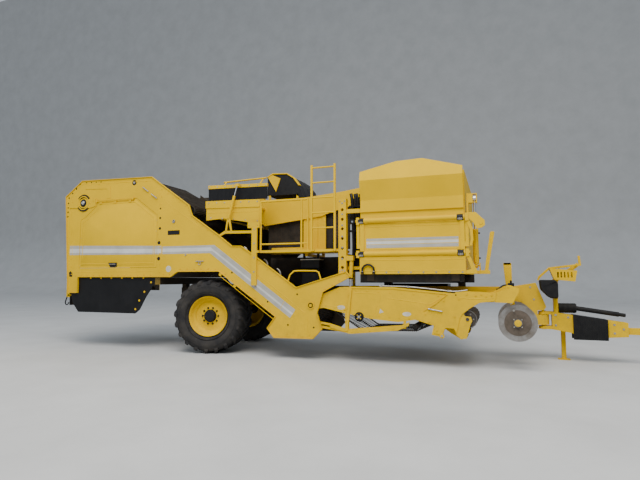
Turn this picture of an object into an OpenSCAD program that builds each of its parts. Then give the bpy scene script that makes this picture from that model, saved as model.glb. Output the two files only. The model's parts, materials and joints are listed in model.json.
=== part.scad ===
// Two-row trailed potato harvester with a transfer bunker. X points forward,
// Y to the left, Z up. The origin lies on the ground under the middle of the box.
// Most outlines are side views: their points are [x, z] and they are extruded along Y.

/* [Overall] */
// Half the width over the side skins
half_w = 1500; // [1400:5:1560]
// Thickness of the folded side skins
skin = 30; // [20:1:40]
// Foremost point, at the tip of the hitch ring
front_x = 6450; // [6400:5:6600]
// Rearmost point, at the rear lamp bar
rear_x = -6450; // [-6600:5:-6400]

/* [Wheels] */
// Wheel axle, along the machine
axle_x = -2330; // [-2360:5:-2300]
// Outer diameter of a tyre over its lugs
tyre_d = 1600; // [1560:5:1640]
// Width of a tyre
tyre_w = 840; // [780:5:860]
// Diameter of the rim's flanges
rim_d = 860; // [820:5:900]
// Height of a tyre lug
lug_h = 38; // [25:1:45]
// Number of lugs on each side of a tyre
lug_n = 20; // [16:1:24]
// Distance of a kingpin from the machine's centre plane
kingpin_y = 620; // [600:5:640]
// Diameter of a kingpin
kingpin_d = 60; // [50:1:70]
// Length of a steering arm
steer_arm = 250; // [220:5:280]
// Angle by which the parked wheels are steered
steer_rest = 12; // [0:1:12]

/* [Frame] */
// Height of the main beam
beam_h = 300; // [260:5:320]
// Width of the main beam
beam_w = 270; // [240:5:300]
// Height of the main beam's underside
beam_z = 1150; // [1120:5:1180]
// Distance of the main beam's right face from the centre plane
beam_y = 70; // [60:5:90]
// Place of the drawbar's swing pin along the machine
swing_x = 4600; // [4580:5:4640]
// Diameter of the drawbar's swing pin
swing_d = 80; // [60:1:90]
// Bore of the hitch ring
hitch_bore = 50; // [40:1:60]
// Bore at the end of the drive shaft
pto_bore = 35; // [34.5:0.1:35.5]

/* [Intake] */
// Pivot of the intake, along the machine
intake_x = 258; // [240:2:280]
// Height of the intake's pivot
intake_z = 1084; // [1070:2:1100]
// Diameter of a coulter disc
disc_d = 640; // [600:5:660]
// Height of the coulter discs' axles
disc_z = 843; // [830:1:860]
// Diameter of the haulm roller
roller_d = 320; // [280:5:330]

/* [Bunker] */
// Rear end of the bunker
bunker_x0 = 1270; // [1250:5:1290]
// Front end of the bunker
bunker_x1 = 3230; // [3200:5:3240]
// Underside of the bunker
bunker_z = 1700; // [1690:5:1720]
// Height of the lower hinge pipe
hinge_lo_z = 2080; // [2070:2:2100]
// Height of the upper hinge pipe
hinge_up_z = 2720; // [2700:2:2740]
// Diameter of the hinge pipes
pipe_d = 100; // [80:2:110]
// How far the pressed ridge of an end wall stands out
ridge = 90; // [60:2:100]
// Height of that ridge
ridge_z = 3500; // [3470:5:3530]

/* [Platform and ladder] */
// Height of the platform's floor
platform_z = 2200; // [2180:5:2220]
// Height of the railing above the floor
rail_h = 1030; // [980:5:1080]
// Rung spacing of the ladder
rung_pitch = 300; // [280:5:310]
// Width of the ladder
ladder_w = 490; // [440:5:520]

/* [Webs] */
// Spacing of the web rods
rod_pitch = 110; // [90:5:140]
// Diameter of a web rod
rod_d = 16; // [12:1:20]
// Thickness of the web belts
belt_t = 14; // [10:1:18]
// Width of the web belts
belt_w = 60; // [50:2:80]

/* [Hidden] */

// Clearances
run_gap = 0.05;      // running fit, on the radius
seat_gap = 0.3;      // between seated pieces of different bodies
move_gap = 8;        // between pieces that move past each other

yellow = "gold";
dark = [0.12, 0.12, 0.13];
steel = [0.6, 0.6, 0.6];

track_y = half_w - tyre_w / 2;
hub_out = track_y - kingpin_y;
axle_z = tyre_d / 2;
inner_y = half_w - skin;
beam_top = beam_z + beam_h;
channel_left_y = 10;

// Side view outline [x, z] made into a slab from y0 to y1
module slab(points, y0, y1) {
    translate([0, y1, 0]) rotate([90, 0, 0]) linear_extrude(y1 - y0) polygon(points);
}

// Cross section [y, z] made into a bar from x0 to x1
module bar(points, x0, x1) {
    translate([x0, 0, 0]) rotate([90, 0, 90]) linear_extrude(x1 - x0) polygon(points);
}

// Box by two opposite corners
module block(a, b) {
    translate(a) cube(b - a);
}

// Round bar or pipe from a to b
module rod(a, b, d, fn = 24) {
    v = b - a;
    len_v = norm(v);
    translate(a) rotate([0, acos(v[2] / len_v), atan2(v[1], v[0])]) cylinder(h = len_v, d = d, $fn = fn);
}

// Rod along Y at [x, z]
module y_rod(x, z, y0, y1, d, fn = 32) {
    translate([x, y1, z]) rotate([90, 0, 0]) cylinder(h = y1 - y0, d = d, $fn = fn);
}

// Copy of the children on the left side
module both_sides() {
    children();
    mirror([0, 1, 0]) children();
}

// Turning loops: rollers are [x, z, radius], listed clockwise in the side view.
// The outward direction of the run from roller a to roller b
function run_out(a, b) =
    let (dx = b[0] - a[0], dz = b[1] - a[1])
    atan2(dz, dx) + acos((a[2] - b[2]) / norm([dx, dz]));
function turn(a) = a < 0 ? turn(a + 360) : a >= 360 ? turn(a - 360) : a;
function arc_steps(swing) = max(1, ceil(swing / 24));
// Corners of a loop that lies at distance e outside the rollers and touches their circles from outside
function loop_points(rollers, e) = [
    for (i = [0 : len(rollers) - 1])
        let (n = len(rollers), a = rollers[i],
             u0 = run_out(rollers[(i + n - 1) % n], a), u1 = run_out(a, rollers[(i + 1) % n]),
             swing = turn(u0 - u1), step = swing / arc_steps(swing), r = (a[2] + e) / cos(step / 2))
        for (k = [0 : arc_steps(swing) - 1])
            let (u = u0 - step * (k + 0.5))
            [a[0] + r * cos(u), a[1] + r * sin(u)]];
// Points at equal steps along a closed line of points, each with its direction
function spans(p) = [for (i = [0 : len(p) - 1]) norm(p[(i + 1) % len(p)] - p[i])];
function sum_to(v, k) = k <= 0 ? 0 : v[k - 1] + sum_to(v, k - 1);
function loop_marks(p, pitch) =
    let (s = spans(p), total = sum_to(s, len(s)), n = floor(total / pitch), step = total / n)
    [for (i = [0 : len(p) - 1])
        let (from = sum_to(s, i), first = ceil(from / step - 0.001))
        for (k = [first : 1 : ceil((from + s[i]) / step - 0.001) - 1])
            if (k < n && s[i] > 0)
                let (d = p[(i + 1) % len(p)] - p[i], f = (k * step - from) / s[i])
                [p[i][0] + d[0] * f, p[i][1] + d[1] * f, atan2(d[1], d[0])]];

// Flat belt round its rollers
module belt(rollers, y0, y1, t = belt_t) {
    translate([0, y1, 0]) rotate([90, 0, 0]) linear_extrude(y1 - y0) difference() {
        polygon(loop_points(rollers, seat_gap + t));
        polygon(loop_points(rollers, seat_gap));
    }
}

// Rod web: belts at both edges carry rods that are riveted across them
module rod_web(rollers, y0, y1, pitch = rod_pitch) {
    color(dark) {
        belt(rollers, y0, y0 + belt_w);
        belt(rollers, y1 - belt_w, y1);
    }
    color(steel) for (m = loop_marks(loop_points(rollers, seat_gap + belt_t), pitch))
        translate([m[0], y1 - belt_w / 4, m[1]]) rotate([90, 0, 0]) rotate([0, 0, m[2]])
            translate([0, rod_d / 4, 0]) cylinder(h = y1 - y0 - belt_w / 2, d = rod_d, $fn = 6);
}

// Rollers of a loop, with shafts that end at the walls y0 and y1
module web_rollers(rollers, y0, y1, edge = 40) {
    color(dark) for (r = rollers) {
        y_rod(r[0], r[1], y0 + edge, y1 - edge, 2 * r[2], 24);
        y_rod(r[0], r[1], y0 + seat_gap, y1 - seat_gap, 0.7 * r[2] + 20, 16);
    }
}

// Side view of the rear housing
house_x0 = rear_x + 150;
house_x1 = -3400;
house_z0 = 1650;
house_top = 3970;
door_x0 = -5320;
door_x1 = -3500;
door_z0 = 1865;
door_z1 = 3490;
house_outline = [
    [house_x0, 3650], [house_x0 + 520, house_top + 50], [-3690, house_top], [-3460, 3805],
    [house_x1, 3764], [house_x1, house_z0], [house_x0 + 490, house_z0], [house_x0 + 490, 1270],
    [house_x0 + 180, 1270]];

// Side view of the channel from the housing down to the intake's pivot
arch_z = 1765;
channel_outline = [
    [house_x1, 3764], [-2660, 3256], [-2570, 3018], [-1875, 2555], [-1550, 2313], [-1330, 2308],
    [-1065, 2139], [-60, 1442], [1000, 1757], [1090, 1650], [519, 1350], [intake_x + 140, intake_z - 150],
    [500, 626], [310, 429], [-540, 417], [-700, 606], [-520, 844], [-1860, arch_z], [-2920, arch_z],
    [-3100, house_z0], [house_x1, house_z0]];

// Webs, as lists of rollers [x, z, radius]
second_rollers = [[-3080, 2760, 90], [-2900, 2830, 60], [180, 850, 60], [60, 640, 90], [-2900, 2570, 60]];
haulm_rollers = [[-5640, 3440, 230], [-3850, 3830, 60], [-2640, 3130, 90], [-3300, 3010, 60]];
separator_rollers = [[-5450, 2150, 90], [-3650, 2150, 90]];
lift_rollers = [[-5350, 1960, 90], [-2700, 3170, 90]];
first_rollers = [[640, 1150, 90], [2900, 1010, 90], [2300, 720, 60], [1300, 700, 60]];
web_y0 = -inner_y + 20;
web_y1 = channel_left_y - 20;

module main_frame() {
    color(yellow) difference() {
        union() {
            block([-3550, beam_y, beam_z], [4200, beam_y + beam_w, beam_top]);
            // Neck that drops to the swing lug
            slab([[4000, beam_top], [4464, 1529], [4640, 1060], [4600, 985], [4480, 985], [4480, 640], [4330, 640],
                [4000, beam_z]], beam_y + 20, beam_y + beam_w - 20);
            // Rear cross beam under the housing, between the side skins
            block([-3550, -inner_y + seat_gap, 1480], [-3410, inner_y - seat_gap, 1640]);
            block([-3550, beam_y, beam_top], [-3410, beam_y + beam_w, 1490]);
            // Swing lug
            translate([swing_x, beam_y + beam_w / 2, 700]) cylinder(h = 200, r = 95, $fn = 48);
            block([4400, beam_y + 20, 700], [swing_x, beam_y + beam_w - 20, 900]);
        }
        translate([swing_x, beam_y + beam_w / 2, 600]) cylinder(h = 400, d = swing_d, $fn = 64);
    }
}

module axle_beam() {
    pin_z = axle_z;
    color(yellow) difference() {
        union() {
            block([axle_x - 90, -kingpin_y + 60, pin_z - 78], [axle_x + 90, kingpin_y - 60, pin_z + 78]);
            both_sides() translate([axle_x, kingpin_y, pin_z - 80]) cylinder(h = 160, r = 68, $fn = 48);
            // Pedestals up to the beams
            block([axle_x - 120, beam_y + 10, pin_z + 70], [axle_x + 120, beam_y + beam_w - 10, beam_z]);
            block([axle_x - 120, -480, pin_z + 70], [axle_x + 120, -320, beam_z]);
        }
        both_sides() translate([axle_x, kingpin_y, pin_z - 100]) cylinder(h = 200, d = kingpin_d, $fn = 64);
    }
}

// Short right-hand beam, the cross beams and the bunker's bearers
module frame_posts() {
    color(yellow) {
        block([-3550, -480, beam_z], [-1500, -320, 1400]);
        block([-3540, -470, 1400], [-3420, -330, 1480]);
        // Cross member from the short beam to the main beam
        block([-2900, -320, beam_z + 20], [-2750, beam_y, beam_z + 180]);
        // Bearers under the bunker
        for (x = [bunker_x0 + 120, bunker_x1 - 260])
            block([x, -inner_y + 60, bunker_z - 130], [x + 140, inner_y - 60, bunker_z]);
        block([bunker_x0 + 120, beam_y, beam_top], [bunker_x0 + 260, beam_y + beam_w, bunker_z - 130]);
        block([bunker_x1 - 260, beam_y, beam_top], [bunker_x1 - 120, beam_y + beam_w, bunker_z - 130]);
    }
}

module channel_right() {
    color(yellow) difference() {
        slab(channel_outline, -half_w, -inner_y);
        y_rod(intake_x, intake_z, -half_w - 1, -inner_y + 1, 60 + 2 * run_gap);
    }
}

module channel_left() {
    color(yellow) difference() {
        slab([for (p = channel_outline) if (p[0] < 1000 || p[1] < 1600) p], channel_left_y, channel_left_y + skin);
        y_rod(intake_x, intake_z, channel_left_y - 1, channel_left_y + skin + 1, 60 + 2 * run_gap);
    }
}

module door_opening(y0, y1) {
    slab([[door_x0, door_z0], [door_x0, door_z1], [-4110, door_z1], [door_x1, 3060], [door_x1, door_z0]], y0, y1);
}

door_pin_y = -half_w - 20;
door_pin_z = door_z1 - 20;
module rear_side_right() {
    color(yellow) difference() {
        slab(house_outline, -half_w, -inner_y);
        door_opening(-half_w - 1, -inner_y + 1);
    }
    // Eyes of the door's hinge rod
    color(yellow) for (x = [door_x0 + 20, -4210])
        difference() {
            union() {
                block([x, door_pin_y - 10, door_pin_z], [x + 30, -half_w, door_z1 + 30]);
                translate([x, door_pin_y, door_pin_z]) rotate([0, 90, 0]) cylinder(h = 30, r = 17, $fn = 48);
            }
            translate([x - 1, door_pin_y, door_pin_z]) rotate([0, 90, 0]) cylinder(h = 32, d = 20 + 2 * run_gap, $fn = 32);
        }
    // Seat strip for the channel's skin
    color(yellow) block([house_x1 - 60, -inner_y, house_z0], [house_x1 - 20, -inner_y + 14, 3700]);
}

module rear_side_left() {
    color(yellow) slab(house_outline, inner_y, half_w);
}

// Roof sheets and cross members of the rear housing
module rear_cover() {
    color(yellow) {
        slab([[-5760, house_top], [-5760, house_top - 40], [-4500, house_top - 60], [-4500, house_top - 20]],
            -inner_y, inner_y);
        block([house_x0 + 60, -inner_y, 3560], [house_x0 + 140, inner_y, 3640]);
        block([house_x0 + 220, -inner_y, 1290], [house_x0 + 320, inner_y, 1390]);
        // Plate between the separator and the lift, with its cross bar
        block([-5600, channel_left_y, 1880], [house_x1, channel_left_y + skin, 2310]);
        block([-5600, channel_left_y + skin, 2240], [-5540, inner_y, 2300]);
    }
}

// Skin of the left channel, over the left wheel
module left_channel() {
    color(yellow) slab([
        [house_x1, 3764], [-2400, 3440], [-2400, 3000], [-1150, 2780], [-1150, 2300], [-1860, arch_z],
        [-2920, arch_z], [-3100, house_z0], [house_x1, house_z0]], inner_y, half_w);
}

module second_web() {
    rod_web(second_rollers, web_y0, web_y1);
    web_rollers([second_rollers[0], second_rollers[3]], -inner_y, channel_left_y);
}

module haulm_web() {
    rod_web(haulm_rollers, web_y0, web_y1, 2 * rod_pitch);
    web_rollers([haulm_rollers[1], haulm_rollers[2]], -inner_y, channel_left_y);
    // Drum with its shaft through both skins
    color(dark) {
        y_rod(haulm_rollers[0][0], haulm_rollers[0][1], web_y0 + 20, web_y1 - 20, 2 * haulm_rollers[0][2], 32);
        y_rod(haulm_rollers[0][0], haulm_rollers[0][1], -inner_y + seat_gap, inner_y - seat_gap, 90, 24);
    }
}

module separator_belt() {
    color(dark) {
        belt(separator_rollers, -inner_y + 40, channel_left_y - 40, 20);
        for (r = separator_rollers) {
            y_rod(r[0], r[1], -inner_y + 50, channel_left_y - 50, 2 * r[2], 24);
            y_rod(r[0], r[1], -inner_y + seat_gap, channel_left_y - seat_gap, 60, 16);
        }
    }
}

module lift_belt() {
    y0 = channel_left_y + skin;
    color(dark) {
        belt(lift_rollers, y0 + 40, inner_y - 40, 20);
        for (r = lift_rollers) {
            y_rod(r[0], r[1], y0 + 50, inner_y - 50, 2 * r[2], 24);
            y_rod(r[0], r[1], y0 + seat_gap, inner_y - seat_gap, 60, 16);
        }
    }
}

module rear_skirt() {
    color(dark) slab([[-5790, 1730], [-3560, 1730], [-3560, 1640], [-4020, 820], [-5790, 820]],
        -inner_y + seat_gap, -inner_y + 12);
}

module rear_bar() {
    color(dark) {
        block([rear_x, -900, 1160], [rear_x + 60, 900, 1300]);
        for (y = [-700, 700])
            slab([[rear_x + 60, 1180], [rear_x + 60, 1280], [house_x0 + 220, 1380], [house_x0 + 220, 1300]], y - 20, y + 20);
    }
}

module side_door() {
    color(yellow) {
        translate([0, -half_w + 4, 0])
            slab([[door_x0 + 6, door_z0 + 6], [door_x0 + 6, door_z1 - 6], [-4113, door_z1 - 6], [door_x1 - 6, 3057],
                [door_x1 - 6, door_z0 + 6]], 0, skin - 4);
        rod([door_x0 + 24, door_pin_y, door_pin_z], [-4184, door_pin_y, door_pin_z], 20, 32);
        for (x = [-5200, -4760, -4320])
            block([x, door_pin_y, door_pin_z - 60], [x + 60, -half_w + 5, door_pin_z + 6]);
    }
}

// Cross section [y, z] of a bunker end wall above its upper hinge, pressed to a ridge
function end_wall(t) = [
    [-1470, hinge_up_z + 60], [-1470, 2895], [-half_w, 2895], [-half_w, 3120], [-half_w - ridge, ridge_z],
    [-half_w + 30, 3880], [-half_w + 30 + t, 3880], [-half_w - ridge + 2 * t, ridge_z],
    [-half_w + t + 6, 3120], [-1470 + t, 2895 + t], [-1470 + t, hinge_up_z + 60]];

wall_top = [
    [bunker_x0 + 20, 2000], [bunker_x0 + 20, 3680], [1990, 3850], [2480, 3870], [bunker_x1 - 20, 3660],
    [bunker_x1 - 20, 2000]];

module bunker_body() {
    wall = 40;
    color(yellow) {
        // Rear and front walls
        block([bunker_x0, -inner_y + 40, bunker_z], [bunker_x0 + wall, inner_y, 3200]);
        block([bunker_x0, -inner_y + 40, 3200], [bunker_x0 + wall, -760, 3640]);
        block([bunker_x1 - wall, -inner_y + 40, bunker_z], [bunker_x1, inner_y, 3600]);
        // Floor
        block([bunker_x0, -inner_y + 40, bunker_z], [bunker_x1, inner_y, bunker_z + wall]);
        // Right-hand sill under the folding wall
        block([bunker_x0, -half_w, bunker_z], [bunker_x1, -inner_y + 40, hinge_lo_z - pipe_d / 2 - move_gap]);
        // Fixed left wall, pressed like the folding one
        mirror([0, 1, 0]) intersection() {
            bar(end_wall(wall), bunker_x0 + 10, bunker_x1 - 10);
            slab(wall_top, -half_w - 200, -half_w + 200);
        }
        block([bunker_x0, inner_y - 10, bunker_z], [bunker_x1, half_w, hinge_up_z + 60]);
        // Bearing blocks of the lower pipe
        for (x = [bunker_x0 - 60, bunker_x1])
            difference() {
                block([x, -half_w - 30, hinge_lo_z - 70], [x + 60, -inner_y + 60, hinge_lo_z + 70]);
                translate([x - 1, -1480, hinge_lo_z]) rotate([0, 90, 0]) cylinder(h = 62, d = 60 + 2 * run_gap, $fn = 48);
            }
    }
}

module bunker_belt() {
    color(dark) block([bunker_x0 + 60, -inner_y + 60, bunker_z + 40], [bunker_x1 - 60, inner_y - 60, bunker_z + 75]);
}

boom_y = -1480;
module boom_lower() {
    x0 = bunker_x0 + move_gap;
    x1 = bunker_x1 - move_gap;
    color(yellow) {
        translate([x0, boom_y, hinge_lo_z]) rotate([0, 90, 0]) cylinder(h = x1 - x0, d = pipe_d, $fn = 48);
        // Journals of the lower pipe
        translate([bunker_x0 - 80, boom_y, hinge_lo_z]) rotate([0, 90, 0])
            cylinder(h = bunker_x1 - bunker_x0 + 160, d = 60, $fn = 48);
        // Panel and posts between the two pipes
        block([x0 + 60, -1478, hinge_lo_z + 20], [x1 - 60, -1458, hinge_up_z - 60]);
        for (x = [x0, x1 - 80])
            block([x, -half_w, hinge_lo_z + 20], [x + 80, -inner_y + 30, hinge_up_z - 58]);
        // Bearings of the upper pipe
        for (x = [bunker_x0 - 60, bunker_x1])
            difference() {
                union() {
                    block([x, -half_w - 30, hinge_up_z - 70], [x + 60, -inner_y + 60, hinge_up_z + 70]);
                    block([x, -half_w, hinge_lo_z + 110], [x + 60, -inner_y + 30, hinge_up_z - 60]);
                    block([x, -half_w, hinge_lo_z + 110], [x + (x < 2000 ? 100 : 60), -inner_y + 30, hinge_lo_z + 190]);
                    if (x > 2000) block([x - 40, -half_w, hinge_lo_z + 110], [x, -inner_y + 30, hinge_lo_z + 190]);
                }
                translate([x - 1, boom_y, hinge_up_z]) rotate([0, 90, 0]) cylinder(h = 62, d = 60 + 2 * run_gap, $fn = 48);
            }
        // Arm that carries the cylinder's rod eye
        block([bunker_x1 + 30, -1400, hinge_up_z - 200], [bunker_x1 + 60, -1290, 3160]);
        block([bunker_x1, -1470, hinge_up_z - 200], [bunker_x1 + 60, -1290, hinge_up_z - 60]);
        difference() {
            block([bunker_x1 + 30, -1400, 2990], [bunker_x1 + 210, -1260, 3160]);
            translate([boom_eye_x, boom_eye[0], boom_eye[1]]) rotate([0, 90, 0]) cylinder(h = 60, d = 200, center = true, $fn = 48);
        }
    }
}

boom_eye_x = bunker_x1 + 165;
boom_eye = [-1330, 3075];
boom_foot = [-1150, 1850];
boom_lean = atan2(boom_foot[0] - boom_eye[0], boom_eye[1] - boom_foot[1]);

module boom_upper() {
    x0 = bunker_x0 + move_gap;
    x1 = bunker_x1 - move_gap;
    color(yellow) {
        translate([x0, boom_y, hinge_up_z]) rotate([0, 90, 0]) cylinder(h = x1 - x0, d = pipe_d, $fn = 48);
        translate([bunker_x0 - 80, boom_y, hinge_up_z]) rotate([0, 90, 0])
            cylinder(h = bunker_x1 - bunker_x0 + 160, d = 60, $fn = 48);
        intersection() {
            bar(end_wall(20), x0, x1);
            slab(wall_top, -half_w - 200, -half_w + 200);
        }
        block([x0 + 10, -1478, hinge_up_z + 20], [x1 - 10, -1450, hinge_up_z + 70]);
    }
}

module boom_barrel() {
    color(yellow) translate([boom_eye_x, boom_foot[0], boom_foot[1]]) rotate([boom_lean, 0, 0]) difference() {
        union() {
            rotate([0, 90, 0]) cylinder(h = 50, d = 90, center = true, $fn = 48);
            translate([0, 0, 30]) cylinder(h = 650, d = 90, $fn = 48);
        }
        rotate([0, 90, 0]) cylinder(h = 92, d = 30 + 2 * run_gap, center = true, $fn = 48);
        translate([0, 0, 200]) cylinder(h = 500, d = 50 + 2 * run_gap, $fn = 48);
    }
}

module boom_rod() {
    reach = norm([boom_eye[0] - boom_foot[0], boom_eye[1] - boom_foot[1]]);
    color("silver") translate([boom_eye_x, boom_foot[0], boom_foot[1]]) rotate([boom_lean, 0, 0]) {
        union() {
            translate([0, 0, 420]) cylinder(h = reach - 450, d = 50, $fn = 48);
            translate([0, 0, reach]) rotate([0, 90, 0]) cylinder(h = 46, d = 90, center = true, $fn = 48);
        }
    }
}

lift_top = [1085, 2000];
lift_low = [1045, 1400];
lift_lean = atan2(lift_top[0] - lift_low[0], lift_top[1] - lift_low[1]);
lift_y = -1412;

// Perforated column behind the bunker, on the main frame's bearer
module column() {
    color(yellow) {
        difference() {
            block([830, -1470, 1700], [990, -1350, 3190]);
            for (z = [1830 : 190 : 3100])
                y_rod(910, z, -1480, -1340, 60, 24);
        }
        // Foot down to the channel's raised tongue
        block([830, -inner_y, 1690], [990, -inner_y + 30, 1750]);
        // Bracket of the lift cylinder
        difference() {
            block([980, lift_y - 50, 1965], [1125, lift_y + 50, 2060]);
            y_rod(lift_top[0], lift_top[1], lift_y - 30, lift_y + 30, 120, 32);
        }
        y_rod(lift_top[0], lift_top[1], lift_y - 50, lift_y + 50, 30);
        // Tie to the bunker's rear wall
        block([985, -1440, 2900], [bunker_x0, -1380, 2980]);
        block([985, -1364, 1790], [bunker_x0, -1350, 1850]);
    }
    // Bracket of the boom's cylinder, in front of the bunker
    color(yellow) {
        block([bunker_x1, -1240, bunker_z], [boom_eye_x + 72, -1060, bunker_z + 60]);
        for (x = [boom_eye_x - 72, boom_eye_x + 52])
            block([x, -1200, bunker_z + 40], [x + 20, -1100, bunker_z + 200]);
        translate([boom_eye_x - 72, boom_foot[0], boom_foot[1]]) rotate([0, 90, 0]) cylinder(h = 144, d = 30, $fn = 32);
    }
}

sort_y = -750;
// Side boards and frame of the sorting table
module sorting_table() {
    board = 30;
    near = [[-2330, 3200], [-2330, 3440], [-1150, 3440], [-1150, 3390], [-200, 3390], [560, 3458], [1330, 3560],
        [1330, 3260], [500, 3060], [200, 2960], [-1150, 2800], [-1290, 2900], [-2330, 3000]];
    color(yellow) {
        slab(near, sort_y, sort_y + board);
        slab([[-2330, 2960], [-2330, 3440], [1330, 3560], [1330, 3260], [500, 3060], [-140, 2960]], inner_y - 60, inner_y - 30);
        // Cross members
        for (x = [-2300, -1300, -100])
            block([x, sort_y + board, 2970], [x + 60, inner_y - 60, 3000]);
        // Legs down to the main beam
        for (x = [-1300, -100])
            block([x, beam_y + 60, beam_top], [x + 60, beam_y + 120, 2970]);
        block([640, beam_y + 60, beam_top], [700, beam_y + 120, platform_z - 50]);
    }
}

// Boards and frame of the haulm cleaner, above the channel's right skin
clean_y = -1400;
module cleaner_frame() {
    color(yellow) {
        slab([[-2259, 2890], [-2259, 3320], [-920, 3295], [-920, 2650], [-1200, 2740], [-1826, 2941], [-2205, 2893]],
            clean_y, clean_y + 30);
        slab([[-2207, 3600], [-2207, 3640], [-787, 3610], [-787, 3570]], clean_y, clean_y + 30);
        for (x = [-2200, -1520, -860])
            slab([[x, 3300], [x, 3590], [x + 30, 3590], [x + 30, 3290]], clean_y, clean_y + 30);
        // Ties to the sorting table
        for (x = [-2180, -1200])
            block([x, clean_y + 30, 3210], [x + 50, sort_y, 3250]);
        // Rail and strut on the channel's top edge
        slab([[-1875, 2556], [-1740, 2640], [-1060, 2625], [-1060, 2590], [-1730, 2600], [-1840, 2530]], -half_w, -inner_y);
        slab([[-1700, 2630], [-1560, 3250], [-1520, 3250], [-1650, 2630]], -half_w + 10, -inner_y);
        slab([[-1560, 3200], [-1560, 3250], [-1520, 3250], [-1520, 3200]], -inner_y, clean_y);
    }
    color(dark) slab([[-2170, 3320.5], [-2170, 3590], [-1521, 3575], [-1521, 3310]], clean_y + 2, clean_y + 14);
}

module sorting_belt() {
    rollers = [[-2430, 3120, 50], [300, 3120, 50]];
    feed = [[420, 3180, 40], [1290, 3440, 40]];
    color(dark) for (loop = [rollers, feed]) {
        belt(loop, sort_y + 80, inner_y - 110, 12);
        for (r = loop)
            y_rod(r[0], r[1], sort_y + 30 + seat_gap, inner_y - 60 - seat_gap, 2 * r[2] - 1, 24);
    }
}

module hood() {
    color(dark) slab([[-1100, 3520], [-1100, 3900], [-980, 3960], [-620, 3930], [-420, 3800], [-420, 3520]], sort_y, 300);
    color(yellow) for (x = [-1100, -480])
        block([x, sort_y, 3390], [x + 60, sort_y + 30, 3520]);
}

ladder_x = 528;
ladder_pin = [-half_w - 20, platform_z - 25];
module platform() {
    y1 = sort_y + 30;
    color(yellow) {
        block([-890, -half_w + 20, platform_z - 50], [830, y1, platform_z]);
        // Post outside the channel's skin
        block([-1060, -half_w - 40, 1473], [-940, -half_w, 2675]);
        block([-960, -half_w - 40, platform_z - 50], [-890, -half_w + 60, platform_z]);
        // Bearers to the legs of the sorting table
        for (x = [-100, 640])
            block([x, y1 - 200, platform_z - 110], [x + 60, beam_y + 60, platform_z - 50]);
        // Lugs and pins of the ladder
        for (side = [-1, 1]) {
            x = ladder_x + side * (ladder_w / 2 - 45);
            block([x - 10, ladder_pin[0] - 15, ladder_pin[1] - 15], [x + 10, -half_w + 21, ladder_pin[1] + 15]);
            translate([ladder_x + side * (ladder_w / 2 - 10) - 35, ladder_pin[0], ladder_pin[1]]) rotate([0, 90, 0])
                cylinder(h = 70, d = 24, $fn = 32);
        }
    }
}

module railing() {
    y = -half_w + 60;
    top = platform_z + rail_h;
    color(yellow) {
        for (x = [-840, 60])
            rod([x, y, platform_z], [x, y, top], 42);
        rod([-840, y, top], [200, y, top], 42);
        rod([200, y, top], [200, y, platform_z], 42);
        rod([-840, y, platform_z + 520], [200, y, platform_z + 520], 34);
    }
}

module ladder() {
    y = ladder_pin[0];
    color(yellow) {
        difference() {
            for (side = [-1, 1])
                block([ladder_x + side * ladder_w / 2 - 20, y - 18, ladder_pin[1] - 20],
                    [ladder_x + side * ladder_w / 2 + 20, y + 18, 3900]);
            translate([ladder_x - ladder_w, y, ladder_pin[1]]) rotate([0, 90, 0])
                cylinder(h = 2 * ladder_w, d = 24 + 2 * run_gap, $fn = 32);
        }
        for (k = [1 : 5])
            rod([ladder_x - ladder_w / 2, y, ladder_pin[1] - 70 + k * rung_pitch],
                [ladder_x + ladder_w / 2, y, ladder_pin[1] - 70 + k * rung_pitch], 30);
    }
}

module oil_tank() {
    color(dark) block([1300, 700, 1000], [2700, 1400, 1500]);
    color(yellow) block([1200, beam_y + beam_w, 1180], [2800, 720, 1300]);
}

hub_d = 150;
module knuckle() {
    pin_top = axle_z + 130;
    color(yellow) {
        // Fork round the axle beam's end
        for (z = [axle_z + 86, axle_z - 130])
            knuckle_ear(z);
        block([axle_x - 75, kingpin_y + 84, axle_z - 130], [axle_x + 75, kingpin_y + 140, pin_top]);
        translate([axle_x, kingpin_y, axle_z - 130]) cylinder(h = 260, d = kingpin_d - 2 * run_gap, $fn = 64);
        // Spindle
        y_rod(axle_x, axle_z, kingpin_y + 130, track_y + 135, hub_d, 48);
        // Steering arm
        block([axle_x - steer_arm, kingpin_y - 35, axle_z - 130], [axle_x - 40, kingpin_y + 35, axle_z - 90]);
        translate([axle_x - steer_arm, kingpin_y, axle_z - 130]) cylinder(h = 40, r = 35, $fn = 32);
        translate([axle_x - steer_arm, kingpin_y, axle_z - 130]) cylinder(h = 110, d = 30, $fn = 32);
    }
}

module knuckle_ear(z) {
    translate([axle_x, kingpin_y, z]) cylinder(h = 44, r = 75, $fn = 48);
    block([axle_x - 75, kingpin_y, z], [axle_x + 75, kingpin_y + 100, z + 44]);
}

// Turns the children about a kingpin, as the wheels are steered
module steered(pin_y) {
    translate([axle_x, pin_y, 0]) rotate([0, 0, steer_rest]) translate([-axle_x, -pin_y, 0]) children();
}

module knuckle_left() {
    steered(kingpin_y) knuckle();
}

module knuckle_right() {
    steered(-kingpin_y) mirror([0, 1, 0]) knuckle();
}

module tie_rod() {
    z = axle_z - 90 + seat_gap;
    x = axle_x - steer_arm * cos(steer_rest);
    dy = -steer_arm * sin(steer_rest);
    color(steel) {
        rod([x, dy - kingpin_y + 40, z + 22], [x, dy + kingpin_y - 40, z + 22], 45);
        // Eyes, slotted by the play that the arms need
        for (y = [dy - kingpin_y, dy + kingpin_y])
            difference() {
                translate([x, y, z]) cylinder(h = 44, r = 48, $fn = 40);
                translate([x, y, z - 1]) cylinder(h = 46, r = 23, $fn = 40);
            }
    }
}

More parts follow.
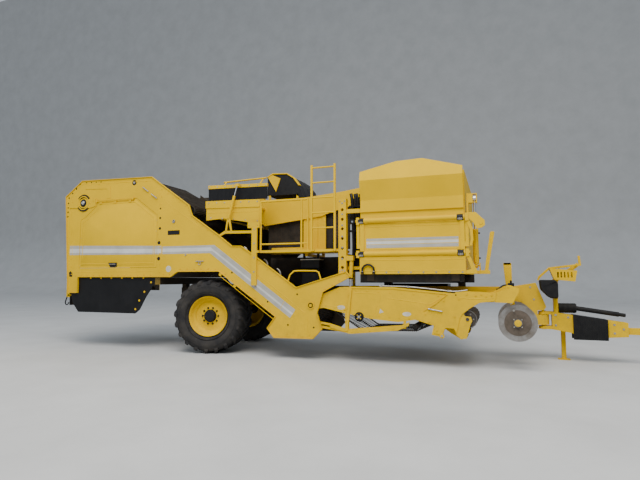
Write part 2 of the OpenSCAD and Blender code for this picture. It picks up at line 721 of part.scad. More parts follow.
// Tyre profile [radius, y], half a cross section of the carcass
module tyre() {
    r0 = rim_d / 2 - 30;
    r1 = tyre_d / 2 - lug_h;
    h = tyre_w / 2;
    color(dark) translate([axle_x, track_y, axle_z]) rotate([90, 0, 0]) {
        rotate_extrude($fn = 48) polygon([
            [r0, -h + 90], [r0 + 31, -h + 90], [r0 + 70, -h + 40], [r0 + 180, -h], [r1 - 70, -h + 20], [r1 - 10, -h + 70], [r1, 0],
            [r1 - 10, h - 70], [r1 - 70, h - 20], [r0 + 180, h], [r0 + 70, h - 40], [r0 + 31, h - 90], [r0, h - 90]]);
        // Slanted lugs, two rows in a herringbone
        intersection() {
            for (side = [-1, 1], k = [0 : lug_n - 1])
                rotate([0, 0, (k + (side + 1) / 4) * 360 / lug_n]) translate([r1 - 40, 0, side * h / 2])
                    rotate([side * -32, 0, 0]) translate([0, -32, -h / 2 + 14]) cube([lug_h + 60, 64, h - 24]);
            cylinder(h = tyre_w, d = tyre_d, center = true, $fn = 96);
        }
    }
}

module tyre_left() {
    steered(kingpin_y) tyre();
}

module tyre_right() {
    steered(-kingpin_y) mirror([0, 1, 0]) tyre();
}

module rim() {
    r = rim_d / 2;
    h = tyre_w / 2;
    color(yellow) translate([axle_x, track_y, axle_z]) rotate([90, 0, 0]) difference() {
        union() {
            rotate_extrude($fn = 64) polygon([
                [r, -h + 60], [r, -h + 90 - seat_gap], [r - 30 - seat_gap, -h + 90 - seat_gap], [r - 30 - seat_gap, h - 90 + seat_gap],
                [r, h - 90 + seat_gap], [r, h - 60], [r - 50, h - 60], [r - 60, -h + 60]]);
            // Dished disc
            rotate_extrude($fn = 64) polygon([
                [0, -170], [140, -170], [200, -120], [r - 60, -60], [r - 40, -60], [r - 40, -90], [200, -150], [140, -200],
                [0, -200]]);
            translate([0, 0, -290]) cylinder(h = 230, d = 220, $fn = 48);
        }
        translate([0, 0, -142]) cylinder(h = 100, d = hub_d + 2 * run_gap, $fn = 48);
    }
}

module rim_left() {
    steered(kingpin_y) rim();
}

module rim_right() {
    steered(-kingpin_y) mirror([0, 1, 0]) rim();
}

// Intake
intake_y0 = -inner_y + move_gap;
intake_y1 = channel_left_y - move_gap;
disc_x = 4062;
intake_top = [[1083, 1458], [1889, 1452], [3030, 1346], [3034, 1371], [3243, 1387], [3727, 1364]];
module intake_frame() {
    side = concat([[intake_x - 90, intake_z + 60], [519, 1320], [850, 1450]], intake_top,
        [[3700, 1220], [3445, 1188], [3270, 1080], [3165, 985], [3190, 945], [3290, 935], [3310, 860], [3282, 810],
        [3211, 554], [3110, 540], [3043, 601], [2993, 720], [2847, 728], [2784, 563], [2603, 597], [2640, 760],
        [2307, 857], [1989, 806], [1464, 853], [988, 939], [518, 1040], [intake_x, intake_z - 90],
        [intake_x - 80, intake_z - 40]]);
    color(yellow) {
        difference() {
            slab(side, intake_y0, intake_y0 + 24);
            y_rod(roller_c[0], roller_c[1], intake_y0 - 1, intake_y0 + 25, 60 + 2 * run_gap);
        }
        difference() {
            slab(side, intake_y1 - 24, intake_y1);
            y_rod(roller_c[0], roller_c[1], intake_y1 - 25, intake_y1 + 1, 60 + 2 * run_gap);
        }
        // Pivot studs in the channel's walls
        y_rod(intake_x, intake_z, -half_w - 20, intake_y0 + 10, 60);
        y_rod(intake_x, intake_z, intake_y1 - 10, channel_left_y + skin + 20, 60);
        // Cross tubes above and below the web
        for (p = [[880, 1370], [2650, 1310]])
            y_rod(p[0], p[1], intake_y0 + 10, intake_y1 - 10, 90, 32);
        // Lower bar with its post, outside the right wall
        slab([[398, 660], [986, 570], [2137, 690], [2137, 760], [986, 644], [398, 734]], intake_y0, intake_y0 + 20);
        slab([[960, 600], [1040, 600], [1040, 1000], [960, 1000]], intake_y0, intake_y0 + 20);
        slab([[2090, 700], [2137, 700], [2137, 840], [2090, 840]], intake_y0, intake_y0 + 20);
        // Lug of the lift cylinder
        difference() {
            block([lift_low[0] - 60, lift_y - 40, 1360], [lift_low[0] + 60, lift_y + 40, 1450]);
            y_rod(lift_low[0], lift_low[1], lift_y - 24, lift_y + 24, 120, 32);
        }
    }
}

module first_web() {
    rod_web(first_rollers, intake_y0 + 44, intake_y1 - 44);
    web_rollers([first_rollers[0], first_rollers[1]], intake_y0 + 24, intake_y1 - 24);
}

roller_c = [3231, 890];
module haulm_roller() {
    color(dark) {
        y_rod(roller_c[0], roller_c[1], intake_y0 + 60, intake_y1 - 60, roller_d, 48);
        y_rod(roller_c[0], roller_c[1], intake_y0 - 10, intake_y1 + 10, 60, 48);
    }
}

// Beam across the front with the arms of the discs
coulter_y = [-1350, -725, -100];
module disc_beam() {
    color(yellow) {
        block([3560, intake_y0 + 24, 1200], [3680, intake_y1 - 24, 1340]);
        for (y = coulter_y) {
            slab([[3560, 1210], [3560, 1330], [3912, 1498], [4085, 1367], [3982, 1197]], y + 40, y + 70);
            slab([[3930, 1250], [4010, 1250], [disc_x + 40, disc_z - 40], [disc_x - 40, disc_z - 40]], y + 40, y + 64);
            y_rod(disc_x, disc_z, y - 50, y + 50, 50, 32);
        }
    }
}

module shares() {
    color(yellow) for (y = [-1180, -480])
        slab([[2700, 760], [2900, 800], [3132, 551], [3211, 554], [3100, 500], [2900, 620]], y, y + 450);
    color(yellow) block([2780, intake_y0 + 24, 700], [2860, intake_y1 - 24, 770]);
}

module coulter(y) {
    color(steel) difference() {
        union() {
            y_rod(disc_x, disc_z, y - 5, y + 5, disc_d, 64);
            y_rod(disc_x, disc_z, y - 30, y + 30, 130, 32);
        }
        y_rod(disc_x, disc_z, y - 60, y + 60, 50 + 2 * run_gap, 32);
    }
}

module coulter_right() {
    coulter(coulter_y[0]);
}

module coulter_middle() {
    coulter(coulter_y[1]);
}

module coulter_left() {
    coulter(coulter_y[2]);
}

module lift_barrel() {
    color(yellow) translate([lift_top[0], lift_y, lift_top[1]]) rotate([0, 180 + lift_lean, 0]) difference() {
        union() {
            rotate([90, 0, 0]) cylinder(h = 50, d = 80, center = true, $fn = 48);
            translate([0, 0, 20]) cylinder(h = 40, d = 48, $fn = 48);
            translate([0, 0, 50]) cylinder(h = 350, d = 80, $fn = 48);
        }
        rotate([90, 0, 0]) cylinder(h = 60, d = 30 + 2 * run_gap, center = true, $fn = 48);
        translate([0, 0, 120]) cylinder(h = 400, d = 45 + 2 * run_gap, $fn = 48);
    }
}

module lift_rod() {
    reach = norm([lift_top[0] - lift_low[0], lift_top[1] - lift_low[1]]);
    color("silver") translate([lift_top[0], lift_y, lift_top[1]]) rotate([0, 180 + lift_lean, 0]) {
        translate([0, 0, 200]) cylinder(h = reach - 230, d = 45, $fn = 48);
        translate([0, 0, reach]) rotate([90, 0, 0]) cylinder(h = 40, d = 80, center = true, $fn = 48);
    }
}

module lift_hose() {
    y = -half_w - 30;
    path = concat([[1330, y, 1705]], [for (a = [160 : -20 : 20]) [1440 + 120 * cos(a), y, 1750 + 130 * sin(a)]],
        [[1550, y, 1705]]);
    color(dark) {
        for (i = [0 : len(path) - 2]) rod(path[i], path[i + 1], 36, 8);
        // Clips on the bunker's sill
        for (p = [path[0], path[len(path) - 1]])
            block([p[0] - 24, y - 24, 1704], [p[0] + 24, -half_w, 1744]);
    }
}

// Drawbar
draw_y = beam_y + beam_w / 2;
module drawbar() {
    color(yellow) difference() {
        union() {
            slab([[4740, 966], [5000, 920], [6030, 780], [6030, 520], [5500, 480], [4740, 620]], draw_y - 110, draw_y + 110);
            // Fork ears round the swing lug
            for (z = [620, 906])
                block([swing_x, draw_y - 100, z], [4760, draw_y + 100, z + 60]);
            for (z = [620, 906])
                translate([swing_x, draw_y, z]) cylinder(h = 60, r = 100, $fn = 48);
            block([6030, draw_y - 60, 560], [6300, draw_y + 60, 680]);
            translate([front_x - 75, draw_y, 580]) cylinder(h = 70, r = 75, $fn = 48);
            block([6290, draw_y - 50, 580], [front_x - 75, draw_y + 50, 650]);
            // Gearbox bracket for the shaft
            slab([[4780, 930], [4780, 1230], [4856, 1230], [4856, 930]], draw_y - 90, draw_y + 90);
            // Arm for the hoses
            slab([[4790, 940], [4870, 940], [4890, 1560], [5270, 1860], [5250, 1930], [4790, 1600]], draw_y + 110, draw_y + 150);
        }
        translate([front_x - 75, draw_y, 500]) cylinder(h = 200, d = hitch_bore, $fn = 64);
    }
    color(steel) translate([swing_x, draw_y, 610]) cylinder(h = 366, d = swing_d - 2 * run_gap, $fn = 64);
}

// Rear end of the drive shaft, with the bore for the tractor's stub
pto_end = [6010, draw_y, 915];
pto_dir = [cos(8), 0, -sin(8)];
module pto_shaft() {
    color(dark) rod([4856 + seat_gap, draw_y, 1035], [5180, draw_y, 1035], 170, 32);
    color([0.45, 0.42, 0.2]) rod([5170, draw_y, 1035], pto_end - 111 * pto_dir, 90, 32);
    color(steel) difference() {
        rod(pto_end - 111 * pto_dir, pto_end, 70, 48);
        rod(pto_end - 70 * pto_dir, pto_end + pto_dir, pto_bore, 48);
    }
}

module step_pad() {
    color(dark) difference() {
        slab([[5104, 915], [5691, 830], [5691, 440], [5104, 440]], draw_y - 150, draw_y + 150);
        slab([[5090, 910 + seat_gap], [5700, 825 + seat_gap], [5700, 600], [5090, 600]], draw_y - 111, draw_y + 111);
        slab([[5090, 620], [5700, 620], [5700, 430], [5090, 430]], draw_y - 111, draw_y + 111);
    }
}

module hose_rack() {
    color(yellow) slab([[4900, 1600], [4960, 1560], [5200, 1590], [5240, 1850], [5180, 1850], [5160, 1640], [4990, 1620],
        [4930, 1700]], draw_y - 60, draw_y + 110);
}

module guard_box() {
    color(dark) block([4650, draw_y - 80, 1230 + seat_gap], [4880, draw_y + 90, 1560]);
}

stand_x = 4960;
stand_y = draw_y + 230;
module parking_stand() {
    color(yellow) {
        block([stand_x - 40, stand_y - 40, 16], [stand_x + 40, stand_y + 40, 780]);
        block([stand_x - 110, stand_y - 75, 0], [stand_x + 110, stand_y + 75, 16]);
        y_rod(stand_x, 740, draw_y + 110 + seat_gap, stand_y, 60, 32);
    }
}

main_frame();
axle_beam();
frame_posts();
channel_right();
channel_left();
rear_side_right();
rear_side_left();
rear_cover();
left_channel();
second_web();
haulm_web();
separator_belt();
lift_belt();
rear_skirt();
rear_bar();
side_door();
bunker_body();
bunker_belt();
boom_lower();
boom_upper();
boom_barrel();
boom_rod();
column();
sorting_table();
sorting_belt();
cleaner_frame();
hood();
platform();
railing();
ladder();
oil_tank();
knuckle_right();
knuckle_left();
tie_rod();
tyre_right();
tyre_left();
rim_right();
rim_left();
intake_frame();
first_web();
disc_beam();
shares();
haulm_roller();
coulter_right();
coulter_middle();
coulter_left();
lift_barrel();
lift_rod();
lift_hose();
drawbar();
pto_shaft();
step_pad();
hose_rack();
guard_box();
parking_stand();
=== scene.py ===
"""Looks of the trailed potato harvester: paint, webs, rubber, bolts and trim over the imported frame.
Lengths are in metres in the row frame: X forward, Y to the machine's left, Z up, ground at Z = 0."""
import json
import math

import bmesh
import bpy
from mathutils import Matrix, Vector


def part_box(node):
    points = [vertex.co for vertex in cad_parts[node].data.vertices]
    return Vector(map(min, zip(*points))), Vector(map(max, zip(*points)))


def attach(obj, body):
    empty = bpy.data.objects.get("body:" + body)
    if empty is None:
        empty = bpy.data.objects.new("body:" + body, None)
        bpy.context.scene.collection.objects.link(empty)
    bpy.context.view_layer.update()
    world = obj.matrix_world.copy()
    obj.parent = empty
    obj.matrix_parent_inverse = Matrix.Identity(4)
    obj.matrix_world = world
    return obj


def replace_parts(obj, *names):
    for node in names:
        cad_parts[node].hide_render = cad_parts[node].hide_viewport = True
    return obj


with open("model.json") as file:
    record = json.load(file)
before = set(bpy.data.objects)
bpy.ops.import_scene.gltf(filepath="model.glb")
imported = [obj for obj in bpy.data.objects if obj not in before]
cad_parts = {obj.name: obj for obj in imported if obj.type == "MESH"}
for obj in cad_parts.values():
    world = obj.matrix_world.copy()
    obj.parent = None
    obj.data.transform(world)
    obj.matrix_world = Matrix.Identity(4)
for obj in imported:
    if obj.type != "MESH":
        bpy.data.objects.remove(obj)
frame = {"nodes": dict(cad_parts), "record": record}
NODES = frame["nodes"]
JOINTS = {joint["name"]: joint for joint in frame["record"]["behaviour"]["joints"]}
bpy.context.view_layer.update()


# Node helpers for materials

def link(tree, a, a_out, b, b_in):
    """Joins output a_out of node a to input b_in of node b."""
    tree.links.new(a.outputs[a_out], b.inputs[b_in])


def noise(tree, scale, detail=4.0, rough=0.55):
    """Noise over object coordinates."""
    coord = tree.nodes.new("ShaderNodeTexCoord")
    tex = tree.nodes.new("ShaderNodeTexNoise")
    tex.inputs["Scale"].default_value = scale
    tex.inputs["Detail"].default_value = detail
    tex.inputs["Roughness"].default_value = rough
    link(tree, coord, "Object", tex, "Vector")
    return tex


def ramp(tree, source, output, stops):
    """Colour ramp over a source, with stops (place, grey level)."""
    node = tree.nodes.new("ShaderNodeValToRGB")
    line = node.color_ramp
    while len(line.elements) < len(stops):
        line.elements.new(0.5)
    for element, (place, level) in zip(line.elements, stops):
        element.position = place
        element.color = (level, level, level, 1)
    link(tree, source, output, node, "Fac")
    return node


def mix(tree, fac, fac_out, base, other):
    """Mix of two colours by a factor; each colour is a tuple or a (node, output) pair."""
    node = tree.nodes.new("ShaderNodeMix")
    node.data_type = "RGBA"
    link(tree, fac, fac_out, node, "Factor")
    for name, colour in (("A", base), ("B", other)):
        socket = [s for s in node.inputs if s.name == name and s.type == "RGBA"][0]
        if isinstance(colour[0], (int, float)):
            socket.default_value = (*colour, 1)
        else:
            tree.links.new(colour[0].outputs[colour[1]], socket)
    return node


def mix_out(node):
    """Place of the colour output of a mix node."""
    return [i for i, s in enumerate(node.outputs) if s.type == "RGBA"][0]


def new_look(name, rough, metal=0.0, coat=0.0, shine=0.3):
    """Empty material with its shader's constants set."""
    look = bpy.data.materials.new(name)
    look.use_nodes = True
    shader = look.node_tree.nodes["Principled BSDF"]
    shader.inputs["Roughness"].default_value = rough
    shader.inputs["Metallic"].default_value = metal
    shader.inputs["Coat Weight"].default_value = coat
    shader.inputs["Specular IOR Level"].default_value = shine
    shader.inputs["Coat Roughness"].default_value = 0.12
    return look, look.node_tree, shader


def add_bump(tree, shader, height, output, strength, distance):
    """Small relief from a height source."""
    bump = tree.nodes.new("ShaderNodeBump")
    bump.inputs["Strength"].default_value = strength
    bump.inputs["Distance"].default_value = distance
    link(tree, height, output, bump, "Height")
    link(tree, bump, "Normal", shader, "Normal")


def paint(name, base, dust, dust_share=0.35, rough=0.3, coat=0.4, shine=0.3, inner=None):
    """Machine enamel: faint mottling, dust in the hollows and more of it low down, fine orange peel."""
    look, tree, shader = new_look(name, rough, 0.0, coat, shine)
    tone = ramp(tree, noise(tree, 1.3), "Fac", [(0.3, 0.0), (0.75, 1.0)])
    dark = tuple(0.86 * c for c in base)
    body = mix(tree, tone, "Color", base, dark)
    coord = tree.nodes.new("ShaderNodeTexCoord")
    split = tree.nodes.new("ShaderNodeSeparateXYZ")
    link(tree, coord, "Object", split, "Vector")
    low = tree.nodes.new("ShaderNodeMapRange")
    low.inputs["From Min"].default_value = 1.9
    low.inputs["From Max"].default_value = 0.4
    low.inputs["To Min"].default_value = 0.12
    low.inputs["To Max"].default_value = 1.0
    link(tree, split, "Z", low, "Value")
    patches = ramp(tree, noise(tree, 7.0, 8.0, 0.7), "Fac", [(0.42, 0.0), (0.72, 1.0)])
    share = tree.nodes.new("ShaderNodeMath")
    share.operation = "MULTIPLY"
    link(tree, low, "Result", share, 0)
    link(tree, patches, "Color", share, 1)
    scaled = tree.nodes.new("ShaderNodeMath")
    scaled.operation = "MULTIPLY"
    scaled.inputs[1].default_value = dust_share
    link(tree, share, "Value", scaled, 0)
    dust_and_shade = mix(tree, scaled, "Value", (body, mix_out(body)), dust)
    if inner:
        # Painted shade: a dark soil tone over all that lies behind the right outer skin and rearwards of X
        # inner[1], where the insides lie in shadow
        behind = tree.nodes.new("ShaderNodeMapRange")
        behind.inputs["From Min"].default_value = inner[0]
        behind.inputs["From Max"].default_value = inner[0] + 0.02
        link(tree, split, "Y", behind, "Value")
        ahead = tree.nodes.new("ShaderNodeMapRange")
        ahead.inputs["From Min"].default_value = inner[1] + 0.2
        ahead.inputs["From Max"].default_value = inner[1]
        link(tree, split, "X", ahead, "Value")
        shade_mask = tree.nodes.new("ShaderNodeMath")
        shade_mask.operation = "MULTIPLY"
        link(tree, behind, "Result", shade_mask, 0)
        link(tree, ahead, "Result", shade_mask, 1)
        dust_and_shade = mix(tree, shade_mask, "Value", (dust_and_shade, mix_out(dust_and_shade)), SHADE_DARK)
    tree.links.new(dust_and_shade.outputs[mix_out(dust_and_shade)], shader.inputs["Base Color"])
    rough_map = tree.nodes.new("ShaderNodeMapRange")
    rough_map.inputs["To Min"].default_value = rough
    rough_map.inputs["To Max"].default_value = 0.8
    link(tree, scaled, "Value", rough_map, "Value")
    link(tree, rough_map, "Result", shader, "Roughness")
    add_bump(tree, shader, noise(tree, 90.0, 2.0), "Fac", 0.05, 0.002)
    return look


def mottled(name, base, other, scale, rough, metal=0.0, bump=0.15, bump_scale=60.0, shine=0.25):
    """Two tones by noise with a grainy surface, for rubber, bare steel and plastic."""
    look, tree, shader = new_look(name, rough, metal, 0.0, shine)
    tone = ramp(tree, noise(tree, scale, 8.0, 0.65), "Fac", [(0.35, 0.0), (0.7, 1.0)])
    body = mix(tree, tone, "Color", base, other)
    tree.links.new(body.outputs[mix_out(body)], shader.inputs["Base Color"])
    add_bump(tree, shader, noise(tree, bump_scale, 4.0), "Fac", bump, 0.004)
    return look


EARTH = (0.16, 0.11, 0.055)
# Dark earth tone that the enamel takes on as painted shade behind the skins
SHADE_DARK = (0.045, 0.034, 0.022)
YELLOW = (0.76, 0.475, 0.002)
LOOKS = {
    "painted_yellow": paint("enamel_yellow", YELLOW, EARTH, 0.27, 0.47, 0.0, 0.06),
    "painted_dark": paint("enamel_black", (0.009, 0.009, 0.010), EARTH, 0.25, 0.45, 0.0, 0.2),
    "web_steel": mottled("web_steel", (0.07, 0.058, 0.046), (0.03, 0.023, 0.017), 6.0, 0.6, 0.3),
    "belt_rubber": mottled("belt_rubber", (0.012, 0.011, 0.010), (0.04, 0.032, 0.024), 5.0, 0.75),
    "sheet_rubber": mottled("sheet_rubber", (0.004, 0.004, 0.0048), (0.009, 0.009, 0.010),
                            3.0, 0.5, shine=0.2),
    "roller_rubber": mottled("roller_rubber", (0.03, 0.03, 0.03), (0.09, 0.075, 0.06), 9.0, 0.7),
    "hose_rubber": mottled("hose_rubber", (0.006, 0.006, 0.006), (0.014, 0.014, 0.014), 20.0, 0.4, shine=0.3),
    "tyre_rubber": mottled("tyre_rubber", (0.018, 0.018, 0.020), (0.050, 0.045, 0.040), 4.0, 0.85, shine=0.2),
    "bare_steel": mottled("bare_steel", (0.36, 0.35, 0.34), (0.17, 0.14, 0.11), 5.0, 0.42, 0.7),
    "rod_chrome": mottled("rod_chrome", (0.75, 0.75, 0.76), (0.65, 0.65, 0.66), 3.0, 0.12, 1.0, 0.02),
    "black_plastic": mottled("black_plastic", (0.008, 0.008, 0.009), (0.016, 0.016, 0.016),
                             12.0, 0.55, shine=0.2),
    "guard_plastic": mottled("guard_plastic", (0.008, 0.008, 0.008), (0.022, 0.020, 0.016),
                             8.0, 0.6, shine=0.2),
    "stripe_white": mottled("stripe_white", (0.62, 0.62, 0.60), (0.50, 0.50, 0.46),
                            3.0, 0.5, 0.0, 0.02, shine=0.15),
    "stripe_grey": mottled("stripe_grey", (0.43, 0.42, 0.38), (0.34, 0.33, 0.29),
                           3.0, 0.5, 0.0, 0.02, shine=0.15),
    "sign_pale": mottled("sign_pale", (0.62, 0.60, 0.50), (0.45, 0.42, 0.33), 9.0, 0.5, 0.0, 0.02),
    "zinc": mottled("zinc", (0.50, 0.49, 0.45), (0.32, 0.30, 0.25), 25.0, 0.4, 0.8, 0.05),
    "lamp_red": mottled("lamp_red", (0.42, 0.012, 0.010), (0.30, 0.008, 0.008),
                        8.0, 0.2, 0.0, 0.02, shine=0.5),
    "worn_soil": mottled("worn_soil", (0.09, 0.072, 0.055), (0.15, 0.12, 0.095), 12.0, 0.8, 0.2, 0.3),
    "rod_khaki": mottled("rod_khaki", (0.16, 0.145, 0.06), (0.10, 0.09, 0.04), 8.0, 0.6),
}
# Enamel with painted shade behind the right skin: over all of a node, and on the main frame only rearwards of
# X 0.8
BEHIND = paint("enamel_yellow_shaded", YELLOW, EARTH, 0.35, 0.5, 0.0, 0.2, (-1.486, 40.0))
BEHIND_REAR = paint("enamel_yellow_frame_shaded", YELLOW, EARTH, 0.35, 0.5, 0.0, 0.2, (-1.486, 0.8))
# These nodes show the painted shade on all sides, on their outer faces too
SHADED_NODES = {node: BEHIND for node in ("channel_left", "left_channel", "rear_side_left", "rear_cover",
                                    "axle_beam",
                                    "frame_posts", "knuckle_right", "knuckle_left", "tie_rod")}
SHADED_NODES["main_frame"] = BEHIND_REAR

for row in frame["record"]["subparts"]:
    mesh = NODES[row["node"]].data
    mesh.materials.clear()
    mesh.materials.append(SHADED_NODES.get(row["node"]) or LOOKS[row["material_slot"]])


# Floor, light and camera

def make_floor():
    """Large pale floor that curves up behind the machine."""
    bm = bmesh.new()
    profile = [(-60, 0), (26, 0)]
    profile += [(26 + 8 * math.sin(a), 8 - 8 * math.cos(a))
                for a in [math.radians(d) for d in range(15, 91, 15)]]
    profile += [(34, 40)]
    rows = [[bm.verts.new((x, y, z)) for y, z in profile] for x in (-70, 70)]
    for i in range(len(profile) - 1):
        bm.faces.new((rows[0][i], rows[1][i], rows[1][i + 1], rows[0][i + 1]))
    mesh = bpy.data.meshes.new("floor")
    bm.to_mesh(mesh)
    mesh.polygons.foreach_set("use_smooth", [True] * len(mesh.polygons))
    mesh.materials.append(mottled("floor_look", (0.52, 0.52, 0.51), (0.46, 0.46, 0.45),
                                  0.8, 0.9, 0.0, 0.03, 12.0))
    floor = bpy.data.objects.new("floor", mesh)
    bpy.context.scene.collection.objects.link(floor)


def area_light(name, place, target, size, power, colour):
    """Square area light aimed at a point."""
    data = bpy.data.lights.new(name, "AREA")
    data.size = size
    data.energy = power
    data.color = colour
    lamp = bpy.data.objects.new(name, data)
    lamp.location = place
    lamp.rotation_euler = (Vector(target) - Vector(place)).to_track_quat("-Z", "Y").to_euler()
    bpy.context.scene.collection.objects.link(lamp)


def make_light():
    """Soft overcast studio: a bright sky, a large key above the camera and a weaker fill."""
    world = bpy.data.worlds.new("sky")
    world.use_nodes = True
    tree = world.node_tree
    sky = tree.nodes["Background"]
    sky.inputs["Color"].default_value = (0.82, 0.90, 1.0, 1)
    coord = tree.nodes.new("ShaderNodeTexCoord")
    split = tree.nodes.new("ShaderNodeSeparateXYZ")
    link(tree, coord, "Generated", split, "Vector")
    rise = tree.nodes.new("ShaderNodeMapRange")
    rise.inputs["From Min"].default_value = -0.1
    rise.inputs["From Max"].default_value = 0.8
    rise.inputs["To Min"].default_value = 0.30
    rise.inputs["To Max"].default_value = 0.95
    link(tree, split, "Z", rise, "Value")
    link(tree, rise, "Result", sky, "Strength")
    bpy.context.scene.world = world
    area_light("key", (3, -11, 17), (0, 0, 1.5), 12, 4300, (1.0, 0.96, 0.90))
    area_light("fill", (-12, -14, 8), (-2, 0, 1.5), 9, 350, (0.92, 0.96, 1.0))


CAM_PLACE = (3.754, -10.440, 1.606)
CAM_TURN = math.radians(20.255)
CAM_RISE = math.radians(4.645)


def make_camera():
    """The photograph's view: turned to the left of square on, and slightly up."""
    data = bpy.data.cameras.new("view")
    data.sensor_width = 36
    data.lens = 27
    data.clip_end = 300
    camera = bpy.data.objects.new("view", data)
    camera.location = CAM_PLACE
    forward = Vector((-math.sin(CAM_TURN) * math.cos(CAM_RISE), math.cos(CAM_TURN) * math.cos(CAM_RISE),
                      math.sin(CAM_RISE)))
    camera.rotation_euler = forward.to_track_quat("-Z", "Y").to_euler()
    bpy.context.scene.collection.objects.link(camera)
    bpy.context.scene.camera = camera


make_floor()
make_light()
make_camera()


# Mesh pieces

def unit(x, z):
    """Direction (x, z) at length 1."""
    size = math.hypot(x, z)
    return x / size, z / size


def ring(x, z, r, n=32):
    """Points (x, z) of a circle."""
    return [(x + r * math.cos(t), z + r * math.sin(t)) for t in (2 * math.pi * k / n for k in range(n))]


def inset(outline, e):
    """Clockwise outline moved inwards by e."""
    out = []
    for i, (x, z) in enumerate(outline):
        ux, uz = unit(x - outline[i - 1][0], z - outline[i - 1][1])
        nx, nz = outline[(i + 1) % len(outline)]
        vx, vz = unit(nx - x, nz - z)
        grow = e / (1 + ux * vx + uz * vz)
        out.append((x + grow * (uz + vz), z - grow * (ux + vx)))
    return out


class Piece:
    """One mesh, gathered from simple forms in the row frame."""

    def __init__(self, name, body, slot, look=None):
        self.name, self.body, self.slot = name, body, slot
        self.look = look or LOOKS[slot]
        self.bm = bmesh.new()

    def faces(self, points, faces):
        made = [self.bm.verts.new(p) for p in points]
        for face in faces:
            self.bm.faces.new([made[i] for i in face])

    def loft(self, rings, closed=False, caps=True):
        """Skin through rings of equal length."""
        n = len(rings[0])
        made = [[self.bm.verts.new(p) for p in ring] for ring in rings]
        pairs = list(zip(made, made[1:])) + ([(made[-1], made[0])] if closed else [])
        for a, b in pairs:
            for i in range(n):
                self.bm.faces.new((a[i], a[(i + 1) % n], b[(i + 1) % n], b[i]))
        if caps and not closed:
            self.bm.faces.new(made[0][::-1])
            self.bm.faces.new(made[-1])

    def box(self, a, b):
        (x0, y0, z0), (x1, y1, z1) = a, b
        self.loft([[(x0, y0, z), (x1, y0, z), (x1, y1, z), (x0, y1, z)] for z in (z0, z1)])

    def slab(self, outline, y0, y1):
        """Side view outline [(x, z), ...] from y0 to y1."""
        self.loft([[(x, y, z) for x, z in outline] for y in (y0, y1)])

    def plate(self, outline, holes, y0, y1):
        """Side view outline with holes in it, from y0 to y1."""
        edges = []
        for loop in [outline] + holes:
            made = [self.bm.verts.new((x, y0, z)) for x, z in loop]
            edges += [self.bm.edges.new((made[i], made[i - 1])) for i in range(len(made))]
        filled = bmesh.ops.triangle_fill(self.bm, use_beauty=True, edges=edges)["geom"]
        faces = [part for part in filled if isinstance(part, bmesh.types.BMFace)]
        turned = bmesh.ops.extrude_face_region(self.bm, geom=faces)["geom"]
        moved = [part for part in turned if isinstance(part, bmesh.types.BMVert)]
        bmesh.ops.translate(self.bm, verts=moved, vec=(0, y1 - y0, 0))

    def fold(self, line, y0, y1, t=0.012, closed=False):
        """Folded edge along a line [(x, z), ...] that runs clockwise, t thick and to the line's right."""
        rings = []
        n = len(line)
        for i, (x, z) in enumerate(line):
            ax, az = line[i - 1] if closed or i else line[i]
            bx, bz = line[(i + 1) % n] if closed or i < n - 1 else line[i]
            ux, uz = unit(x - ax, z - az) if (ax, az) != (x, z) else unit(bx - x, bz - z)
            vx, vz = unit(bx - x, bz - z) if (bx, bz) != (x, z) else (ux, uz)
            grow = t / (1 + ux * vx + uz * vz)
            ix, iz = x + grow * (uz + vz), z - grow * (ux + vx)
            rings.append([(x, y0, z), (x, y1, z), (ix, y1, iz), (ix, y0, iz)])
        self.loft(rings, closed)

    def rod(self, a, b, r0, r1=None, sides=16):
        """Round bar, or cone, from a to b."""
        a, b = Vector(a), Vector(b)
        turn = (b - a).to_track_quat("Z", "Y").to_matrix()
        ring = [Vector((math.cos(t), math.sin(t), 0))
                for t in (2 * math.pi * i / sides for i in range(sides))]
        self.loft([[a + turn @ (v * r0) for v in ring],
                   [b + turn @ (v * (r0 if r1 is None else r1)) for v in ring]])

    def tube(self, path, radius, sides=10, closed=False):
        """Tube along a line of points, its rings kept from twisting."""
        path = [Vector(p) for p in path]
        n = len(path)
        rings, side = [], None
        for i, p in enumerate(path):
            ahead = path[(i + 1) % n] if closed or i < n - 1 else p
            behind = path[i - 1] if closed or i > 0 else p
            along = (ahead - behind).normalized()
            if side is None:
                side = along.orthogonal().normalized()
            side = (side - along * side.dot(along)).normalized()
            up = along.cross(side)
            rings.append([p + radius * (side * math.cos(t) + up * math.sin(t))
                          for t in (2 * math.pi * k / sides for k in range(sides))])
        self.loft(rings, closed)

    def revolve(self, centre, profile, sides=64):
        """Closed profile [(radius, y), ...] turned about the Y axis through centre."""
        c = Vector(centre)
        rings = []
        for k in range(sides):
            t = 2 * math.pi * k / sides
            rings.append([c + Vector((r * math.cos(t), y, r * math.sin(t))) for r, y in profile])
        self.loft(rings, closed=True)

    def lathe(self, a, b, profile, sides=32):
        """Profile [(distance from a, radius), ...] turned about the line from a to b."""
        a, along = Vector(a), (Vector(b) - Vector(a)).normalized()
        turn = along.to_track_quat("Z", "Y").to_matrix()
        ring = [turn @ Vector((math.cos(t), math.sin(t), 0))
                for t in (2 * math.pi * i / sides for i in range(sides))]
        self.loft([[a + along * s + v * r for v in ring] for s, r in profile])

    def bolts(self, centres, axis, r=0.011, h=0.009, washer=True):
        """Hexagon heads on their washers at surface points, along an axis."""
        axis = Vector(axis)
        for c in centres:
            c = Vector(c)
            if washer:
                self.rod(c - axis * 0.002, c + axis * 0.0025, r * 1.55, sides=12)
            self.rod(c, c + axis * h, r, sides=6)

